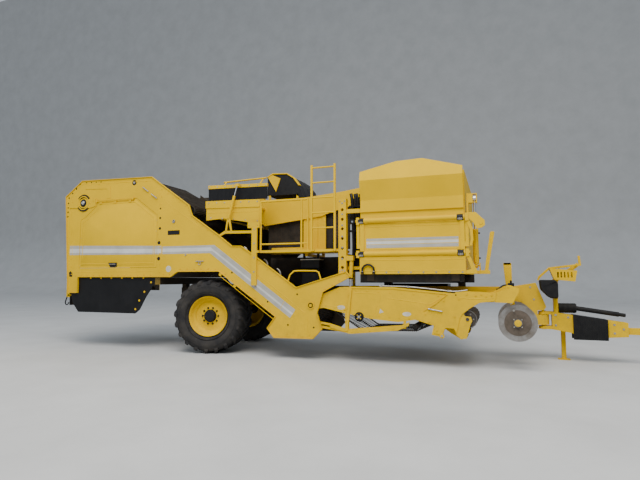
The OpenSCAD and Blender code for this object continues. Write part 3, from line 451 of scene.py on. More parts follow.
    def crease(self, line, y, width=0.014, height=0.004):
        """Shallow pressed ridge along a line [(x, z), ...] that stands out of the plane at y."""
        rings = []
        for i, (x, z) in enumerate(line):
            ax, az = line[max(i - 1, 0)]
            bx, bz = line[min(i + 1, len(line) - 1)]
            span = math.hypot(bx - ax, bz - az)
            nx, nz = -(bz - az) / span * width / 2, (bx - ax) / span * width / 2
            away = math.copysign(height, y)
            rings.append([(x + nx, y, z + nz), (x, y + away, z), (x - nx, y, z - nz), (x, y - away / 4, z)])
        self.loft(rings)

    def done(self, bevel=0.0, smooth=35, turn=None):
        """Ends the piece: clean normals, material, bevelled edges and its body."""
        if turn is not None:
            self.bm.transform(turn)
        bmesh.ops.recalc_face_normals(self.bm, faces=self.bm.faces)
        mesh = bpy.data.meshes.new(self.name)
        self.bm.to_mesh(mesh)
        self.bm.free()
        mesh.polygons.foreach_set("use_smooth", [True] * len(mesh.polygons))
        mesh.set_sharp_from_angle(angle=math.radians(smooth))
        mesh.materials.append(self.look)
        obj = bpy.data.objects.new(self.name, mesh)
        bpy.context.scene.collection.objects.link(obj)
        if bevel:
            mod = obj.modifiers.new("edges", "BEVEL")
            mod.width = bevel
            mod.segments = 2
            mod.limit_method = "ANGLE"
            mod.angle_limit = math.radians(40)
        if self.body:
            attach(obj, self.body)
        return obj


def zinc_piece(name, body):
    """Piece of zinc-plated steel."""
    return Piece(name, body, "bare_steel", LOOKS["zinc"])


def spaced(a, b, n):
    """n points from a to b, both among them."""
    a, b = Vector(a), Vector(b)
    return [a.lerp(b, i / (n - 1)) for i in range(n)]


def on_side(points, y):
    """Points (x, z) set on the plane at y."""
    return [(x, y, z) for x, z in points]


# Driving planes, and the hose

HALF_W = 1.5
DRAW_Y = 0.205
PIPE_Y = -1.48
LOWER_PIPE_Z, UPPER_PIPE_Z = 2.08, 2.72
WALL_FACE = -1.478
LINK_Y = (-1.512, -1.496)
TO_RIGHT = (0, -1, 0)
PIVOT = (0.258, 1.084)
WEB_BEARING = (1.243, 0.884)
LADDER_X, LADDER_HALF = 0.528, 0.245
HOSE_D = 0.036
HOSE_Y = -HALF_W - 0.03
HOSE_ROUTE = ([(1.33, HOSE_Y, 1.705)]
              + [(1.44 + 0.12 * math.cos(math.radians(a)), HOSE_Y, 1.75 + 0.13 * math.sin(math.radians(a)))
                 for a in range(160, 19, -20)]
              + [(1.55, HOSE_Y, 1.705)])


def rounded(points, steps=4):
    """Smooth line through the points."""
    points = [Vector(p) for p in points]
    line = []
    for i in range(len(points) - 1):
        p0, p1, p2, p3 = points[max(i - 1, 0)], points[i], points[i + 1], points[min(i + 2, len(points) - 1)]
        for k in range(steps):
            t = k / steps
            line.append(0.5 * (2 * p1 + (p2 - p0) * t + (2 * p0 - 5 * p1 + 4 * p2 - p3) * t ** 2
                               + (3 * p1 - p0 - 3 * p2 + p3) * t ** 3))
    return line + [points[-1]]


def make_hose():
    """Lift hose: a short loop on the bunker's sill, between its two end fittings."""
    line = rounded(HOSE_ROUTE)
    hose = Piece("lift_hose_cover", None, "hose_rubber")
    hose.tube(line, HOSE_D / 2, 12)
    hose = hose.done()
    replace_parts(hose, "lift_hose")
    for name, tip, next_point in (("hose_end_rear", line[0], line[3]),
                                  ("hose_end_front", line[-1], line[-4])):
        end = zinc_piece(name, "chassis")
        end.lathe(tip, next_point, [(0.0, 0.021), (0.045, 0.021), (0.05, 0.0195)], 16)
        end.done()
    clips = Piece("hose_clips", "chassis", "painted_dark")
    for tip in (line[0], line[-1]):
        clips.box((tip.x - 0.024, HOSE_Y - 0.024, 1.704), (tip.x + 0.024, -HALF_W, 1.744))
    clips.done(bevel=0.003)
    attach(hose, "chassis")


make_hose()


# Wheels

TYRE_R = 0.8
LUG_H = 0.038
LUGS = 20
TYRE_W = 0.84
STEER = math.radians(12)
HUB_OUT = 0.28
DISC_OUT = 0.215


def tyre_profile():
    """Cross section (radius, y) of the carcass, from bead to bead over the tread."""
    h = TYRE_W / 2
    tread = TYRE_R - LUG_H
    half = [(0.402, -h + 0.095), (0.432, -h + 0.09), (0.447, -h + 0.075), (0.475, -h + 0.045),
            (0.53, -h + 0.015), (0.59, -h), (0.65, -h + 0.004), (0.70, -h + 0.022), (0.735, -h + 0.048),
            (tread - 0.008, -h + 0.085), (tread - 0.002, -h + 0.16), (tread, -0.06)]
    back = [(r, -y) for r, y in half[::-1]]
    inside = [(0.47, h - 0.11), (0.47, -h + 0.11)]
    return half + back + inside


def tread_height(y):
    """Radius of the carcass surface at a given offset y from the tyre's middle."""
    h = TYRE_W / 2
    return TYRE_R - LUG_H - 0.010 * max(0.0, (abs(y) - 0.2) / (h - 0.2)) ** 2


def steered(centre):
    """Turn by which a wheel stands steered, about its own centre."""
    return Matrix.Translation(centre) @ Matrix.Rotation(STEER, 4, "Z") @ Matrix.Translation(-centre)


def make_tyre(name, body, centre, node):
    """Flotation tyre: carcass with a rim guard, and long curved lugs in a herringbone."""
    piece = Piece(name, body, "tyre_rubber")
    piece.revolve(centre, tyre_profile(), 96)
    h = TYRE_W / 2
    for side in (-1, 1):
        for k in range(LUGS):
            start = (k + (side + 1) / 4) * 2 * math.pi / LUGS
            rings = []
            for i in range(9):
                f = i / 8
                y = side * (0.012 + (h - 0.018) * f)
                lean = 0.30 * f ** 0.85
                wide = 0.030 + 0.012 * f
                base = tread_height(y) - 0.01
                top = TYRE_R - 0.002 - 0.028 * max(0.0, f - 0.75) / 0.25
                if f > 0.95:
                    base, top = TYRE_R - 0.11, TYRE_R - 0.058
                t = start + lean
                ring = []
                for dt, r in ((-wide * 1.2, base), (-wide * 0.8, top), (wide * 0.8, top), (wide * 1.2, base)):
                    a = t + dt / TYRE_R
                    ring.append(centre + Vector((r * math.cos(a), y, r * math.sin(a))))
                rings.append(ring)
            piece.loft(rings)
    # Raised rings on both side walls
    for side in (-1, 1):
        for r in (0.50, 0.64):
            out = side * (h - 0.001 - (0.012 if r < 0.6 else 0.0))
            piece.revolve(centre, [(r - 0.006, out - side * 0.02), (r - 0.003, out + side * 0.004),
                                   (r + 0.003, out + side * 0.004), (r + 0.006, out - side * 0.02)], 96)
    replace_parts(piece.done(bevel=0.004, turn=steered(centre)), node)


def make_hub(name, body, centre, out):
    """Nuts and cap on the outer side of a wheel, and its rim, which is open inside the cap and has no hub."""
    nuts = Piece(name + "_nuts", body, "painted_dark")
    ring = [(math.cos(t), math.sin(t)) for t in (2 * math.pi * k / 10 for k in range(10))]
    nuts.bolts([centre + Vector((0.178 * c, out * (DISC_OUT + 0.006), 0.178 * d)) for c, d in ring],
               (0, out, 0), 0.015, 0.026)
    nuts.done(turn=steered(centre))
    cap = Piece(name + "_cap", body, "black_plastic")
    base = centre + Vector((0, out * (DISC_OUT + 0.004), 0))
    cap.lathe(base, centre + Vector((0, out, 0)), [
        (0.0, 0.138), (0.012, 0.138), (0.016, 0.126), (HUB_OUT - DISC_OUT + 0.002, 0.122),
        (HUB_OUT - DISC_OUT + 0.012, 0.112), (HUB_OUT - DISC_OUT + 0.016, 0.06)], 48)
    cap.bolts([centre + Vector((0.085 * c, out * (HUB_OUT + 0.012), 0.085 * d)) for c, d in ring[::2]],
              (0, out, 0), 0.008, 0.008)
    cap.done(turn=steered(centre))
    rim = Piece(name + "_rim", body, "painted_yellow")
    h = TYRE_W / 2
    near = [(0.431, h - 0.062), (0.434, h - 0.054), (0.430, h - 0.048), (0.418, h - 0.056),
            (0.402, h - 0.085),
            (0.392, h - 0.11), (0.372, h - 0.15), (0.345, h - 0.165), (0.325, h - 0.19), (0.318, DISC_OUT),
            (0.300, DISC_OUT - 0.004), (0.235, DISC_OUT), (0.215, DISC_OUT + 0.006),
            (0.118, DISC_OUT + 0.006),
            (0.112, DISC_OUT - 0.03), (0.30, DISC_OUT - 0.035), (0.36, DISC_OUT - 0.045)]
    far = [(0.37, h - 0.14), (0.385, h - 0.10), (0.412, h - 0.056), (0.425, h - 0.048), (0.431, h - 0.062),
           (0.399, h - 0.092)]
    rim.revolve(centre, [(r, out * y) for r, y in near] + [(r, -out * y) for r, y in far]
                + [(0.399, out * (h - 0.092))], 96)
    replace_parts(rim.done(smooth=28, turn=steered(centre)), "rim_" + name.split("_")[1])


for side_name, node_side, way in (("right", "r", -1), ("left", "l", 1)):
    hub = Vector(JOINTS["wheel_" + side_name + "_spin"]["pos_m"])
    make_tyre("tyre_" + side_name + "_tread", "wheel_" + node_side, hub, "tyre_" + side_name)
    make_hub("wheel_" + side_name, "wheel_" + node_side, hub, way)


# Rod webs

WEB_PITCH = 0.038
WEB_ROD = 0.008
BELT_T = 0.014


def web_line(rollers, off):
    """Line [(x, z), ...] of a loop round rollers (x, z, radius), listed clockwise, off their surface."""
    n = len(rollers)
    tangents = []
    for i in range(n):
        (x0, z0, r0), (x1, z1, r1) = rollers[i], rollers[(i + 1) % n]
        span = math.hypot(x1 - x0, z1 - z0)
        tangents.append(math.atan2(z1 - z0, x1 - x0) + math.pi / 2 - math.asin((r0 - r1) / span))
    line = []
    for i in range(n):
        x, z, r = rollers[i]
        a0, a1 = tangents[i - 1], tangents[i]
        while a1 > a0:
            a1 -= 2 * math.pi
        steps = max(1, round((a0 - a1) / 0.12))
        for k in range(steps + 1):
            a = a0 + (a1 - a0) * k / steps
            line.append((x + (r + off) * math.cos(a), z + (r + off) * math.sin(a)))
    return line


def marks(line, pitch):
    """Evenly spaced points on the closed line."""
    pairs = list(zip(line, line[1:] + line[:1]))
    total = sum(math.dist(a, b) for a, b in pairs)
    count = round(total / pitch)
    step, at, out = total / count, 0.0, []
    for a, b in pairs:
        span = math.dist(a, b)
        while at < span - 1e-9 and len(out) < count:
            f = at / span
            out.append((a[0] + (b[0] - a[0]) * f, a[1] + (b[1] - a[1]) * f))
            at += step
        at -= span
    return out


def make_web(name, body, node, rollers, y0, y1, drums, axles=()):
    """Web of steel rods between two rubber belts, with its rollers."""
    rods = Piece(name + "_rods", body, "web_steel")
    for x, z in marks(web_line(rollers, BELT_T + 0.0045), WEB_PITCH):
        rods.rod((x, y0 + 0.012, z), (x, y1 - 0.012, z), WEB_ROD, sides=6)
    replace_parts(rods.done(smooth=60), node)
    belts = Piece(name + "_belts", body, "belt_rubber")
    inner, outer = web_line(rollers, 0.0005), web_line(rollers, BELT_T)
    spans = [(y0, y0 + 0.06), ((y0 + y1) / 2 - 0.03, (y0 + y1) / 2 + 0.03), (y1 - 0.06, y1)]
    for a, b in spans:
        belts.loft([[(xo, a, zo), (xo, b, zo), (xi, b, zi), (xi, a, zi)]
                    for (xo, zo), (xi, zi) in zip(outer, inner)],
                   closed=True)
    belts.done()
    wheels = Piece(name + "_rollers", body, "painted_dark")
    for x, z, r, a, b in drums:
        wheels.rod((x, a, z), (x, b, z), r, sides=40)
        for k in range(8):
            t = 2 * math.pi * k / 8
            wheels.rod((x + r * 0.8 * math.cos(t), a - 0.004, z + r * 0.8 * math.sin(t)),
                       (x + r * 0.8 * math.cos(t), b + 0.004, z + r * 0.8 * math.sin(t)), r * 0.1, sides=8)
    for x, z, r, a, b in axles:
        wheels.rod((x, a, z), (x, b, z), r, sides=20)
    wheels.done(bevel=0.002)


SECOND = [(-3.08, 2.76, 0.09), (-2.9, 2.83, 0.06), (0.18, 0.85, 0.06), (0.06, 0.64, 0.09), (-2.9, 2.57, 0.06)]
HAULM = [(-5.64, 3.44, 0.23), (-3.85, 3.83, 0.06), (-2.64, 3.13, 0.09), (-3.3, 3.01, 0.06)]
FIRST = [(0.64, 1.15, 0.09), (2.9, 1.01, 0.09), (2.3, 0.72, 0.06), (1.3, 0.7, 0.06)]


def make_webs():
    """The three rod webs on their rollers, whose shafts end in the walls."""
    for node, body, rollers, held, belt, wall in (
            ("second_web", "chassis", SECOND, (0, 3), (-1.45, -0.01), (-1.469, 0.009)),
            ("haulm_web", "chassis", HAULM, (0, 1, 2), (-1.45, -0.01), (-1.469, 0.009)),
            ("first_web", "intake", FIRST, (0, 1, 2), (-1.418, -0.042), (-1.437, -0.023))):
        drums = [(*rollers[i], belt[0] + 0.02, belt[1] - 0.02) for i in held]
        axles = [(rollers[i][0], rollers[i][1], 0.35 * min(rollers[i][2], 0.09) + 0.01, *wall) for i in held]
        if node == "haulm_web":
            axles[0] = (*rollers[0][:2], 0.045, -1.469, 1.469)
        make_web(node, body, node, rollers, *belt, drums, axles)


make_webs()


# Housing and channel: stripes, bolts, creases and small fittings on the right side

SKIN = -HALF_W
FOLD = SKIN - 0.022
DOOR_FIELD = SKIN - 0.004
DOOR_RIM = SKIN + 0.004
STRIPE = 0.0012


def stripe_z(x):
    """Heights of the four stripe edges on the housing."""
    f = (x + 6.11) / 2.585
    return [2.422 - 0.062 * f, 2.344 - 0.056 * f, 2.245 - 0.048 * f, 2.190 - 0.024 * f]


def make_stripes():
    """Grey, white and grey band along the housing and down the channel."""
    runs = [("chassis", SKIN, -6.11, -5.806), ("door", DOOR_RIM, -5.794, -5.741),
            ("door", DOOR_FIELD, -5.738, -3.562), ("door", DOOR_RIM, -3.559, -3.506),
            ("chassis", SKIN, -3.494, -3.374)]
    for low, look in ((0, "stripe_grey"), (1, "stripe_white"), (2, "stripe_grey")):
        for body in ("chassis", "door"):
            piece = Piece("stripe_%s_%d" % (body, low), body, "painted_yellow", LOOKS[look])
            for owner, y, x0, x1 in runs:
                if owner == body:
                    a, b = stripe_z(x0), stripe_z(x1)
                    piece.slab([(x0, a[low]), (x1, b[low]), (x1, b[low + 1]), (x0, a[low + 1])],
                               y - STRIPE, y)
            if body == "chassis":
                level = [2.341, 2.292, 2.214, 2.165]
                bend = [-1.986, -2.077, -2.033, -2.092]
                drop = [0.126, 0.013, -0.034, -0.125]
                cos_a, sin_a = 0.8175, 0.576
                end = [(-0.13 + sin_a * cos_a * d, 0.907 + cos_a * cos_a * d) for d in drop]
                i, j = low, low + 1
                piece.slab([(-3.345, level[i]), (bend[i], level[i]), end[i], end[j], (bend[j], level[j]),
                            (-3.345, level[j])], SKIN - STRIPE, SKIN)
            piece.done()
    for name, look, spans in (("pale", "stripe_white", ((2.268, 2.323),)),
                              ("grey", "stripe_grey", ((2.332, 2.378), (2.195, 2.259)))):
        lines = Piece("bunker_stripe_" + name, "lower_wall", "painted_yellow", LOOKS[look])
        for z0, z1 in spans:
            lines.slab([(1.40, z1), (3.11, z1), (3.11, z0), (1.40, z0)], WALL_FACE - STRIPE, WALL_FACE)
        lines.done()


def make_housing_trim():
    """Bolts, latches, creases and blank plates of the housing and the channel."""
    bolts = Piece("skin_bolts", "chassis", "painted_yellow")
    rows = [((-6.05, 2.10), (-6.03, 1.72), 3), ((-5.9, 1.70), (-3.65, 1.70), 13),
            ((-5.55, 3.90), (-3.85, 3.88), 7), ((-3.41, 1.76), (-3.41, 1.94), 2),
            ((-3.41, 2.18), (-3.41, 2.32), 2), ((-3.41, 3.32), (-3.41, 3.66), 3),
            ((-3.30, 1.72), (-3.14, 1.72), 2), ((-2.85, 1.83), (-1.95, 1.83), 6),
            ((-1.70, 1.71), (-0.62, 0.97), 7), ((-3.24, 3.55), (-2.76, 3.24), 4),
            ((-2.45, 2.87), (-2.02, 2.58), 4), ((-0.90, 1.93), (-0.14, 1.42), 5),
            ((-0.50, 0.50), (0.24, 0.51), 4), ((0.56, 1.42), (1.0, 1.66), 4), ((0.42, 0.86), (0.47, 0.70), 2)]
    for a, b, n in rows:
        bolts.bolts(spaced((a[0], SKIN, a[1]), (b[0], SKIN, b[1]), n), TO_RIGHT)
    bolts.bolts(on_side([(-5.886, 3.453), (-5.516, 3.455), (-6.08, 3.50), (-5.41, 3.50)], SKIN - 0.014),
                TO_RIGHT, 0.014)
    bolts.bolts(on_side([(x, 1.633) for x in (-5.438, -5.122, -4.812, -4.499, -4.195, -3.877)]
                        + [(-3.66, 1.531), (-3.84, 1.313), (-3.978, 1.113), (-4.082, 0.914)], -1.4697),
                TO_RIGHT, 0.016)
    bolts.bolts([(PIVOT[0] + 0.062 * math.cos(t), SKIN - 0.012, PIVOT[1] + 0.062 * math.sin(t))
                 for t in (math.pi * k / 3 for k in range(6))], TO_RIGHT, 0.008, 0.007)
    bolts.done()
    ridges = Piece("skin_creases", "chassis", "painted_yellow")
    for line in ([(-3.313, 3.374), (-2.359, 2.735)],
                 [(-1.523, 2.115), (-1.07, 1.809), (-0.289, 1.243), (0.15, 0.914)],
                 [(-0.562, 0.455), (0.199, 0.469), (0.198, 0.88)], [(-0.279, 1.225), (-0.427, 0.971)],
                 [(-6.02, 2.12), (-6.14, 3.62), (-5.80, 3.93), (-3.72, 3.87)], [(-5.92, 1.78), (-3.55, 1.78)],
                 [(-1.82, 1.66), (-0.545, 0.78)], [(-3.46, 3.70), (-3.46, 3.10)]):
        ridges.crease(line, SKIN)
    ridges.done()
    plates = Piece("blank_plates", "chassis", "painted_dark")
    plates.slab([(-3.211, 2.696), (-2.89, 2.696), (-2.89, 2.595), (-3.211, 2.595)], SKIN - 0.0015, SKIN)
    plates.done()
    signs = Piece("blank_signs", "chassis", "painted_yellow", LOOKS["sign_pale"])
    signs.rod((-3.168, SKIN, 1.831), (-3.168, SKIN - 0.0015, 1.831), 0.07, sides=40)
    signs.done()
    grips = zinc_piece("latches", "chassis")
    for x, z, lean in ((-3.85, 3.677, 0.61), (-3.603, 3.505, 0.61), (-2.341, 1.993, 0.0)):
        c, d = math.cos(lean), -math.sin(lean)
        a, b = (x - 0.10 * c, SKIN - 0.02, z - 0.10 * d), (x + 0.10 * c, SKIN - 0.02, z + 0.10 * d)
        grips.rod(a, b, 0.011, sides=12)
        for f in (-0.07, 0.07):
            grips.rod((x + f * c, SKIN, z + f * d), (x + f * c, SKIN - 0.02, z + f * d), 0.012, sides=12)
    for x, z in ((-2.345, 1.944), (-3.055, 2.897)):
        grips.tube([(x + 0.032 * math.cos(t), SKIN - 0.008, z + 0.032 * math.sin(t))
                    for t in (2 * math.pi * k / 20 for k in range(20))], 0.007, 8, True)
    grips.rod((-2.716, SKIN, 2.136), (-2.716, SKIN - 0.018, 2.136), 0.022, 0.022 * 0.8, sides=32)
    grips.done(bevel=0.002)


def make_door_trim():
    """Grip bar in its pocket, hinge sleeves and the pressed lines of the side door."""
    grip = zinc_piece("door_grip", "door")
    grip.tube([(-4.85, -1.500, 1.955), (-4.85, -1.516, 1.955), (-4.81, -1.522, 1.955), (-4.71, -1.522, 1.955),
               (-4.67, -1.516, 1.955), (-4.67, -1.500, 1.955)], 0.008, 10)
    for a, b in (((-5.77, DOOR_RIM, 2.6), (-5.77, DOOR_RIM, 1.92)),
                 ((-3.53, DOOR_RIM, 2.95), (-3.53, DOOR_RIM, 2.45))):
        grip.bolts(spaced(a, b, 3), TO_RIGHT, 0.008, 0.006, False)
    grip.done()
    lines = Piece("door_creases", "door", "painted_yellow")
    for line in ([(-5.70, 2.10), (-5.70, 2.96), (-5.57, 3.05), (-5.25, 3.30), (-5.25, 3.40), (-4.15, 3.40),
                  (-3.60, 3.01), (-3.60, 2.02)], [(-5.73, 1.97), (-4.93, 1.97)],
                 [(-4.60, 1.97), (-3.57, 1.97)]):
        lines.crease(line, DOOR_FIELD, 0.02, 0.005)
    lines.done()


def make_left_trim():
    """Bolts and creases of the skins on the left."""
    bolts = Piece("left_bolts", "chassis", "painted_yellow")
    for a, b, n in (((-6.2, 3.5), (-6.02, 1.72), 8), ((-5.9, 1.72), (-3.45, 1.72), 11),
                    ((-5.6, 3.92), (-3.75, 3.88), 8), ((-3.41, 1.8), (-3.41, 3.6), 8),
                    ((-3.25, 3.55), (-2.5, 3.42), 4), ((-2.85, 1.83), (-1.95, 1.83), 5)):
        bolts.bolts(spaced((a[0], HALF_W, a[1]), (b[0], HALF_W, b[1]), n), (0, 1, 0))
    bolts.done()
    ridges = Piece("left_creases", "chassis", "painted_yellow")
    for line in ([(-6.0, 2.0), (-3.5, 2.0)], [(-6.14, 3.2), (-3.5, 3.2)], [(-5.0, 2.05), (-5.0, 3.15)],
                 [(-4.2, 2.05), (-4.2, 3.15)], [(-3.2, 2.0), (-1.5, 2.0)], [(-2.5, 2.05), (-2.5, 3.3)]):
        ridges.crease(line, HALF_W)
    ridges.done()


# Forms that the frame's nodes leave plain

HOUSE = [(-6.30, 3.65), (-5.78, 4.02), (-3.69, 3.97), (-3.46, 3.805), (-3.40, 3.764), (-3.40, 1.65),
         (-5.81, 1.65), (-5.81, 1.27), (-6.12, 1.27)]
DOOR = [(-5.80, 1.865), (-5.80, 3.035), (-5.64, 3.12), (-5.315, 3.365), (-5.315, 3.49), (-4.11, 3.49),
        (-3.50, 3.06), (-3.50, 1.865)]
CHANNEL = [(-3.40, 3.764), (-2.66, 3.256), (-2.57, 3.018), (-1.875, 2.555), (-1.55, 2.313), (-1.33, 2.308),
           (-1.065, 2.139), (-0.06, 1.442), (1.0, 1.757), (1.09, 1.65), (0.519, 1.35), (0.398, 0.934),
           (0.50, 0.626), (0.31, 0.429), (-0.54, 0.417), (-0.70, 0.606), (-0.52, 0.844), (-1.86, 1.765),
           (-2.92, 1.765), (-3.10, 1.65), (-3.40, 1.65)]
DRUM = (-5.72, 3.46)
PIN_Y, PIN_Z = -1.52, 3.47


def make_housing():
    """Right skin of the housing with its door hole, folded edge and drum bearing, and the pressed door."""
    skin = Piece("housing_skin", "chassis", "painted_yellow")
    skin.plate(HOUSE, [DOOR], SKIN, SKIN + 0.03)
    skin.fold(HOUSE[5:] + HOUSE[:5], FOLD, SKIN)
    for x in (-5.30, -4.21):
        skin.box((x, PIN_Y - 0.010, PIN_Z), (x + 0.03, SKIN, 3.52))
        skin.rod((x, PIN_Y, PIN_Z), (x + 0.03, PIN_Y, PIN_Z), 0.017, sides=24)
    # Bearing of the drum: its plate across, with a hub, and the rib above the door
    skin.slab([(-6.16, 3.356), (-6.16, 3.569), (-5.34, 3.55), (-5.34, 3.37), (-5.50, 3.33)],
              SKIN - 0.014, SKIN)
    skin.slab([(-5.677, 3.80), (-5.677, 3.852), (-4.91, 3.822), (-4.897, 3.54), (-5.0, 3.54), (-4.99, 3.77)],
              SKIN - 0.008, SKIN)
    skin.revolve(Vector((DRUM[0], 0, DRUM[1])), [(0.150, SKIN - 0.010), (0.150, SKIN - 0.022),
                                                 (0.172, SKIN - 0.022),
                                                (0.172, SKIN - 0.010)], 48)
    skin = skin.done()
    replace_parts(skin, "rear_side_right")
    door = Piece("side_door_skin", "door", "painted_yellow")
    door.slab(inset(DOOR, 0.006), DOOR_RIM, SKIN + 0.03)
    door.loft([on_side(inset(DOOR, 0.052), DOOR_RIM), on_side(inset(DOOR, 0.066), DOOR_FIELD)])
    door.rod((-5.296, PIN_Y, PIN_Z), (-4.184, PIN_Y, PIN_Z), 0.010, sides=16)
    for x in (-5.20, -4.76, -4.32):
        door.box((x, PIN_Y, PIN_Z - 0.06), (x + 0.06, SKIN + 0.005, PIN_Z + 0.006))
    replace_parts(door.done(), "side_door")
    edges = Piece("channel_folds", "chassis", "painted_yellow")
    edges.fold(CHANNEL[1:], FOLD, SKIN)
    edges.fold(CHANNEL[:2], FOLD, SKIN)
    edges.revolve(Vector((PIVOT[0], 0, PIVOT[1])),
                  [(0.055, SKIN), (0.055, SKIN - 0.012), (0.079, SKIN - 0.012),
                                              (0.079, SKIN)], 48)
    for x, z in ((-1.82, 1.705), (-1.462, 1.462)):
        edges.rod((x, SKIN, z), (x, SKIN - 0.012, z), 0.035, sides=24)
    hoop = [(-0.245, 1.56), (-0.20, 1.69), (-0.111, 1.766), (0.0, 1.772), (0.36, 1.766), (0.42, 1.74),
            (0.47, 1.59)]
    edges.tube(on_side(hoop, SKIN + 0.015), 0.016, 12)
    edges.done()
    left = Piece("left_fold", "chassis", "painted_yellow")
    left.fold(HOUSE, HALF_W, HALF_W + 0.022, closed=True)
    left.done()
    # Black discs, crescents and a cone for the skin's holes and the drum's recess: their black is painted
    # shade of the insides
    holes = Piece("skin_hole_shades", "chassis", "black_plastic")
    at = [(-6.205 + 0.112 * k, 3.612 + 0.11 * k, 0.020) for k in range(4)]
    at += [(-6.222, 3.15 + 0.11 * k, 0.020) for k in range(4)] + [(-5.654 + 0.15 * k, 3.962 - 0.004 * k,
                                                                   0.016) for k in range(4)]
    at += [(-3.43, z, d / 2) for z, d in ((3.21, 0.042), (2.993, 0.05), (2.754, 0.06))]
    at += [(-1.538, 1.742, 0.02), (-0.69, 1.142, 0.018), (-0.233, 0.685, 0.018), (0.322, 0.653, 0.018),
           (-0.034, 1.30, 0.018), (*PIVOT, 0.052), (-3.055, 2.897, 0.042), (-4.197, 3.863, 0.062)]
    for x, z, r in at:
        holes.rod((x, SKIN - 0.0015, z), (x, SKIN + 0.001, z), r, sides=28)
    for z, d in ((2.428, 0.08), (2.067, 0.085)):
        holes.rod((-3.445, SKIN - 0.0015, z), (-3.445, SKIN + 0.001, z), d / 2, sides=28)
    holes.slab([(-6.09, 1.66), (-6.11, 1.76), (-6.06, 1.80), (-6.0, 1.74), (-6.0, 1.66)],
               SKIN - 0.0015, SKIN + 0.001)
    # Open crescents round the drum's plate, black as painted shade of the recess behind
    for a, b in ((0.52, 2.55), (3.65, 5.55)):
        arc = [a + (b - a) * k / 20 for k in range(21)]
        holes.slab([(DRUM[0] + 0.208 * math.cos(t), DRUM[1] + 0.208 * math.sin(t)) for t in arc]
                   + [(DRUM[0] + 0.135 * math.cos(t), DRUM[1] + 0.135 * math.sin(t)) for t in arc[::-1]],
                   SKIN - 0.0155, SKIN + 0.001)
    holes.rod((DRUM[0], SKIN - 0.016, DRUM[1]), (DRUM[0], SKIN - 0.03, DRUM[1]), 0.095, 0.085, sides=40)
    holes.done()
    hubs = zinc_piece("bearing_hubs", "chassis")
    for x, z, r, y in ((*DRUM, 0.05, SKIN - 0.03), (*PIVOT, 0.030, SKIN - 0.0015),
                       (-3.055, 2.897, 0.018, SKIN - 0.0015), (-4.197, 3.863, 0.028, SKIN - 0.0015)):
        hubs.rod((x, y + 0.002, z), (x, y - 0.012, z), r, r * 0.8, sides=28)
    hubs.done()
    pocket = Piece("door_pocket", "door", "black_plastic")
    pocket.slab([(-4.895, 1.99), (-4.63, 1.99), (-4.63, 1.90), (-4.69, 1.885), (-4.83, 1.885)],
                DOOR_FIELD - 0.001, DOOR_FIELD + 0.004)
    pocket.done()


CLEAN_Y = -1.40


def make_cleaner():
    """Boards, posts, rails and curtain of the rear table, with its strut on the channel."""
    boards = Piece("cleaner_boards", "chassis", "painted_yellow")
    boards.slab([(-2.27, 2.895), (-2.27, 3.25), (-0.92, 3.23), (-0.92, 2.76), (-1.15, 2.795), (-1.256, 2.822),
                 (-1.831, 2.924), (-2.183, 2.90)], CLEAN_Y, CLEAN_Y + 0.03)
    boards.slab([(-2.284, 3.163), (-2.284, 3.325), (-0.938, 3.297), (-0.938, 3.134)],
                CLEAN_Y - 0.014, CLEAN_Y)
    boards.slab([(-2.225, 3.595), (-2.225, 3.672), (-0.77, 3.635), (-0.77, 3.568)],
                CLEAN_Y - 0.01, CLEAN_Y + 0.04)
    for x in (-2.20, -1.52, -0.86):
        boards.box((x, CLEAN_Y + 0.014, 3.22), (x + 0.03, CLEAN_Y + 0.03, 3.60))
    for x in (-2.18, -1.20):
        boards.box((x, CLEAN_Y + 0.03, 3.16), (x + 0.05, -0.75, 3.20))
    boards.tube([(-1.95, CLEAN_Y + 0.2, 3.765), (-0.90, CLEAN_Y + 0.2, 3.795)], 0.017, 12)
    for x in (-1.88, -0.98):
        boards.tube([(x, CLEAN_Y + 0.2, 3.77), (x, CLEAN_Y + 0.02, 3.60)], 0.015, 12)
    boards.slab([(-1.875, 2.556), (-1.74, 2.64), (-1.06, 2.625), (-1.06, 2.566), (-1.73, 2.578),
                 (-1.84, 2.53)],
                SKIN, SKIN + 0.03)
    boards.tube([(-1.65, SKIN + 0.012, 2.90), (-1.515, SKIN + 0.012, 3.39)], 0.029, 20)
    boards.slab([(-1.725, 2.625), (-1.69, 2.86), (-1.665, 2.93), (-1.64, 2.93), (-1.605, 2.86),
                 (-1.562, 2.625), (-1.592, 2.625), (-1.64, 2.83), (-1.655, 2.83), (-1.692, 2.625)],
                SKIN, SKIN + 0.03)
    boards.box((-1.485, SKIN - 0.008, 3.59), (-1.405, CLEAN_Y, 3.65))
    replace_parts(boards.done(bevel=0.002), "cleaner_frame")
    rod = Piece("strut_rod", "chassis", "rod_chrome")
    rod.tube([(-1.515, SKIN + 0.012, 3.385), (-1.452, SKIN + 0.012, 3.60)], 0.013, 16)
    rod.done()
    curtain = Piece("curtain", "chassis", "sheet_rubber")
    curtain.slab([(-2.215, 3.328), (-2.222, 3.60), (-0.774, 3.572), (-0.771, 3.30)],
                 CLEAN_Y + 0.0005, CLEAN_Y + 0.0135)
    for k in range(15):
        x = -2.19 + 0.1005 * k
        curtain.box((x, CLEAN_Y - 0.0015, 3.335 - 0.02 * (x + 2.215)),
                    (x + 0.006, CLEAN_Y + 0.001, 3.585 - 0.014 * (x + 2.215)))
    curtain.done()


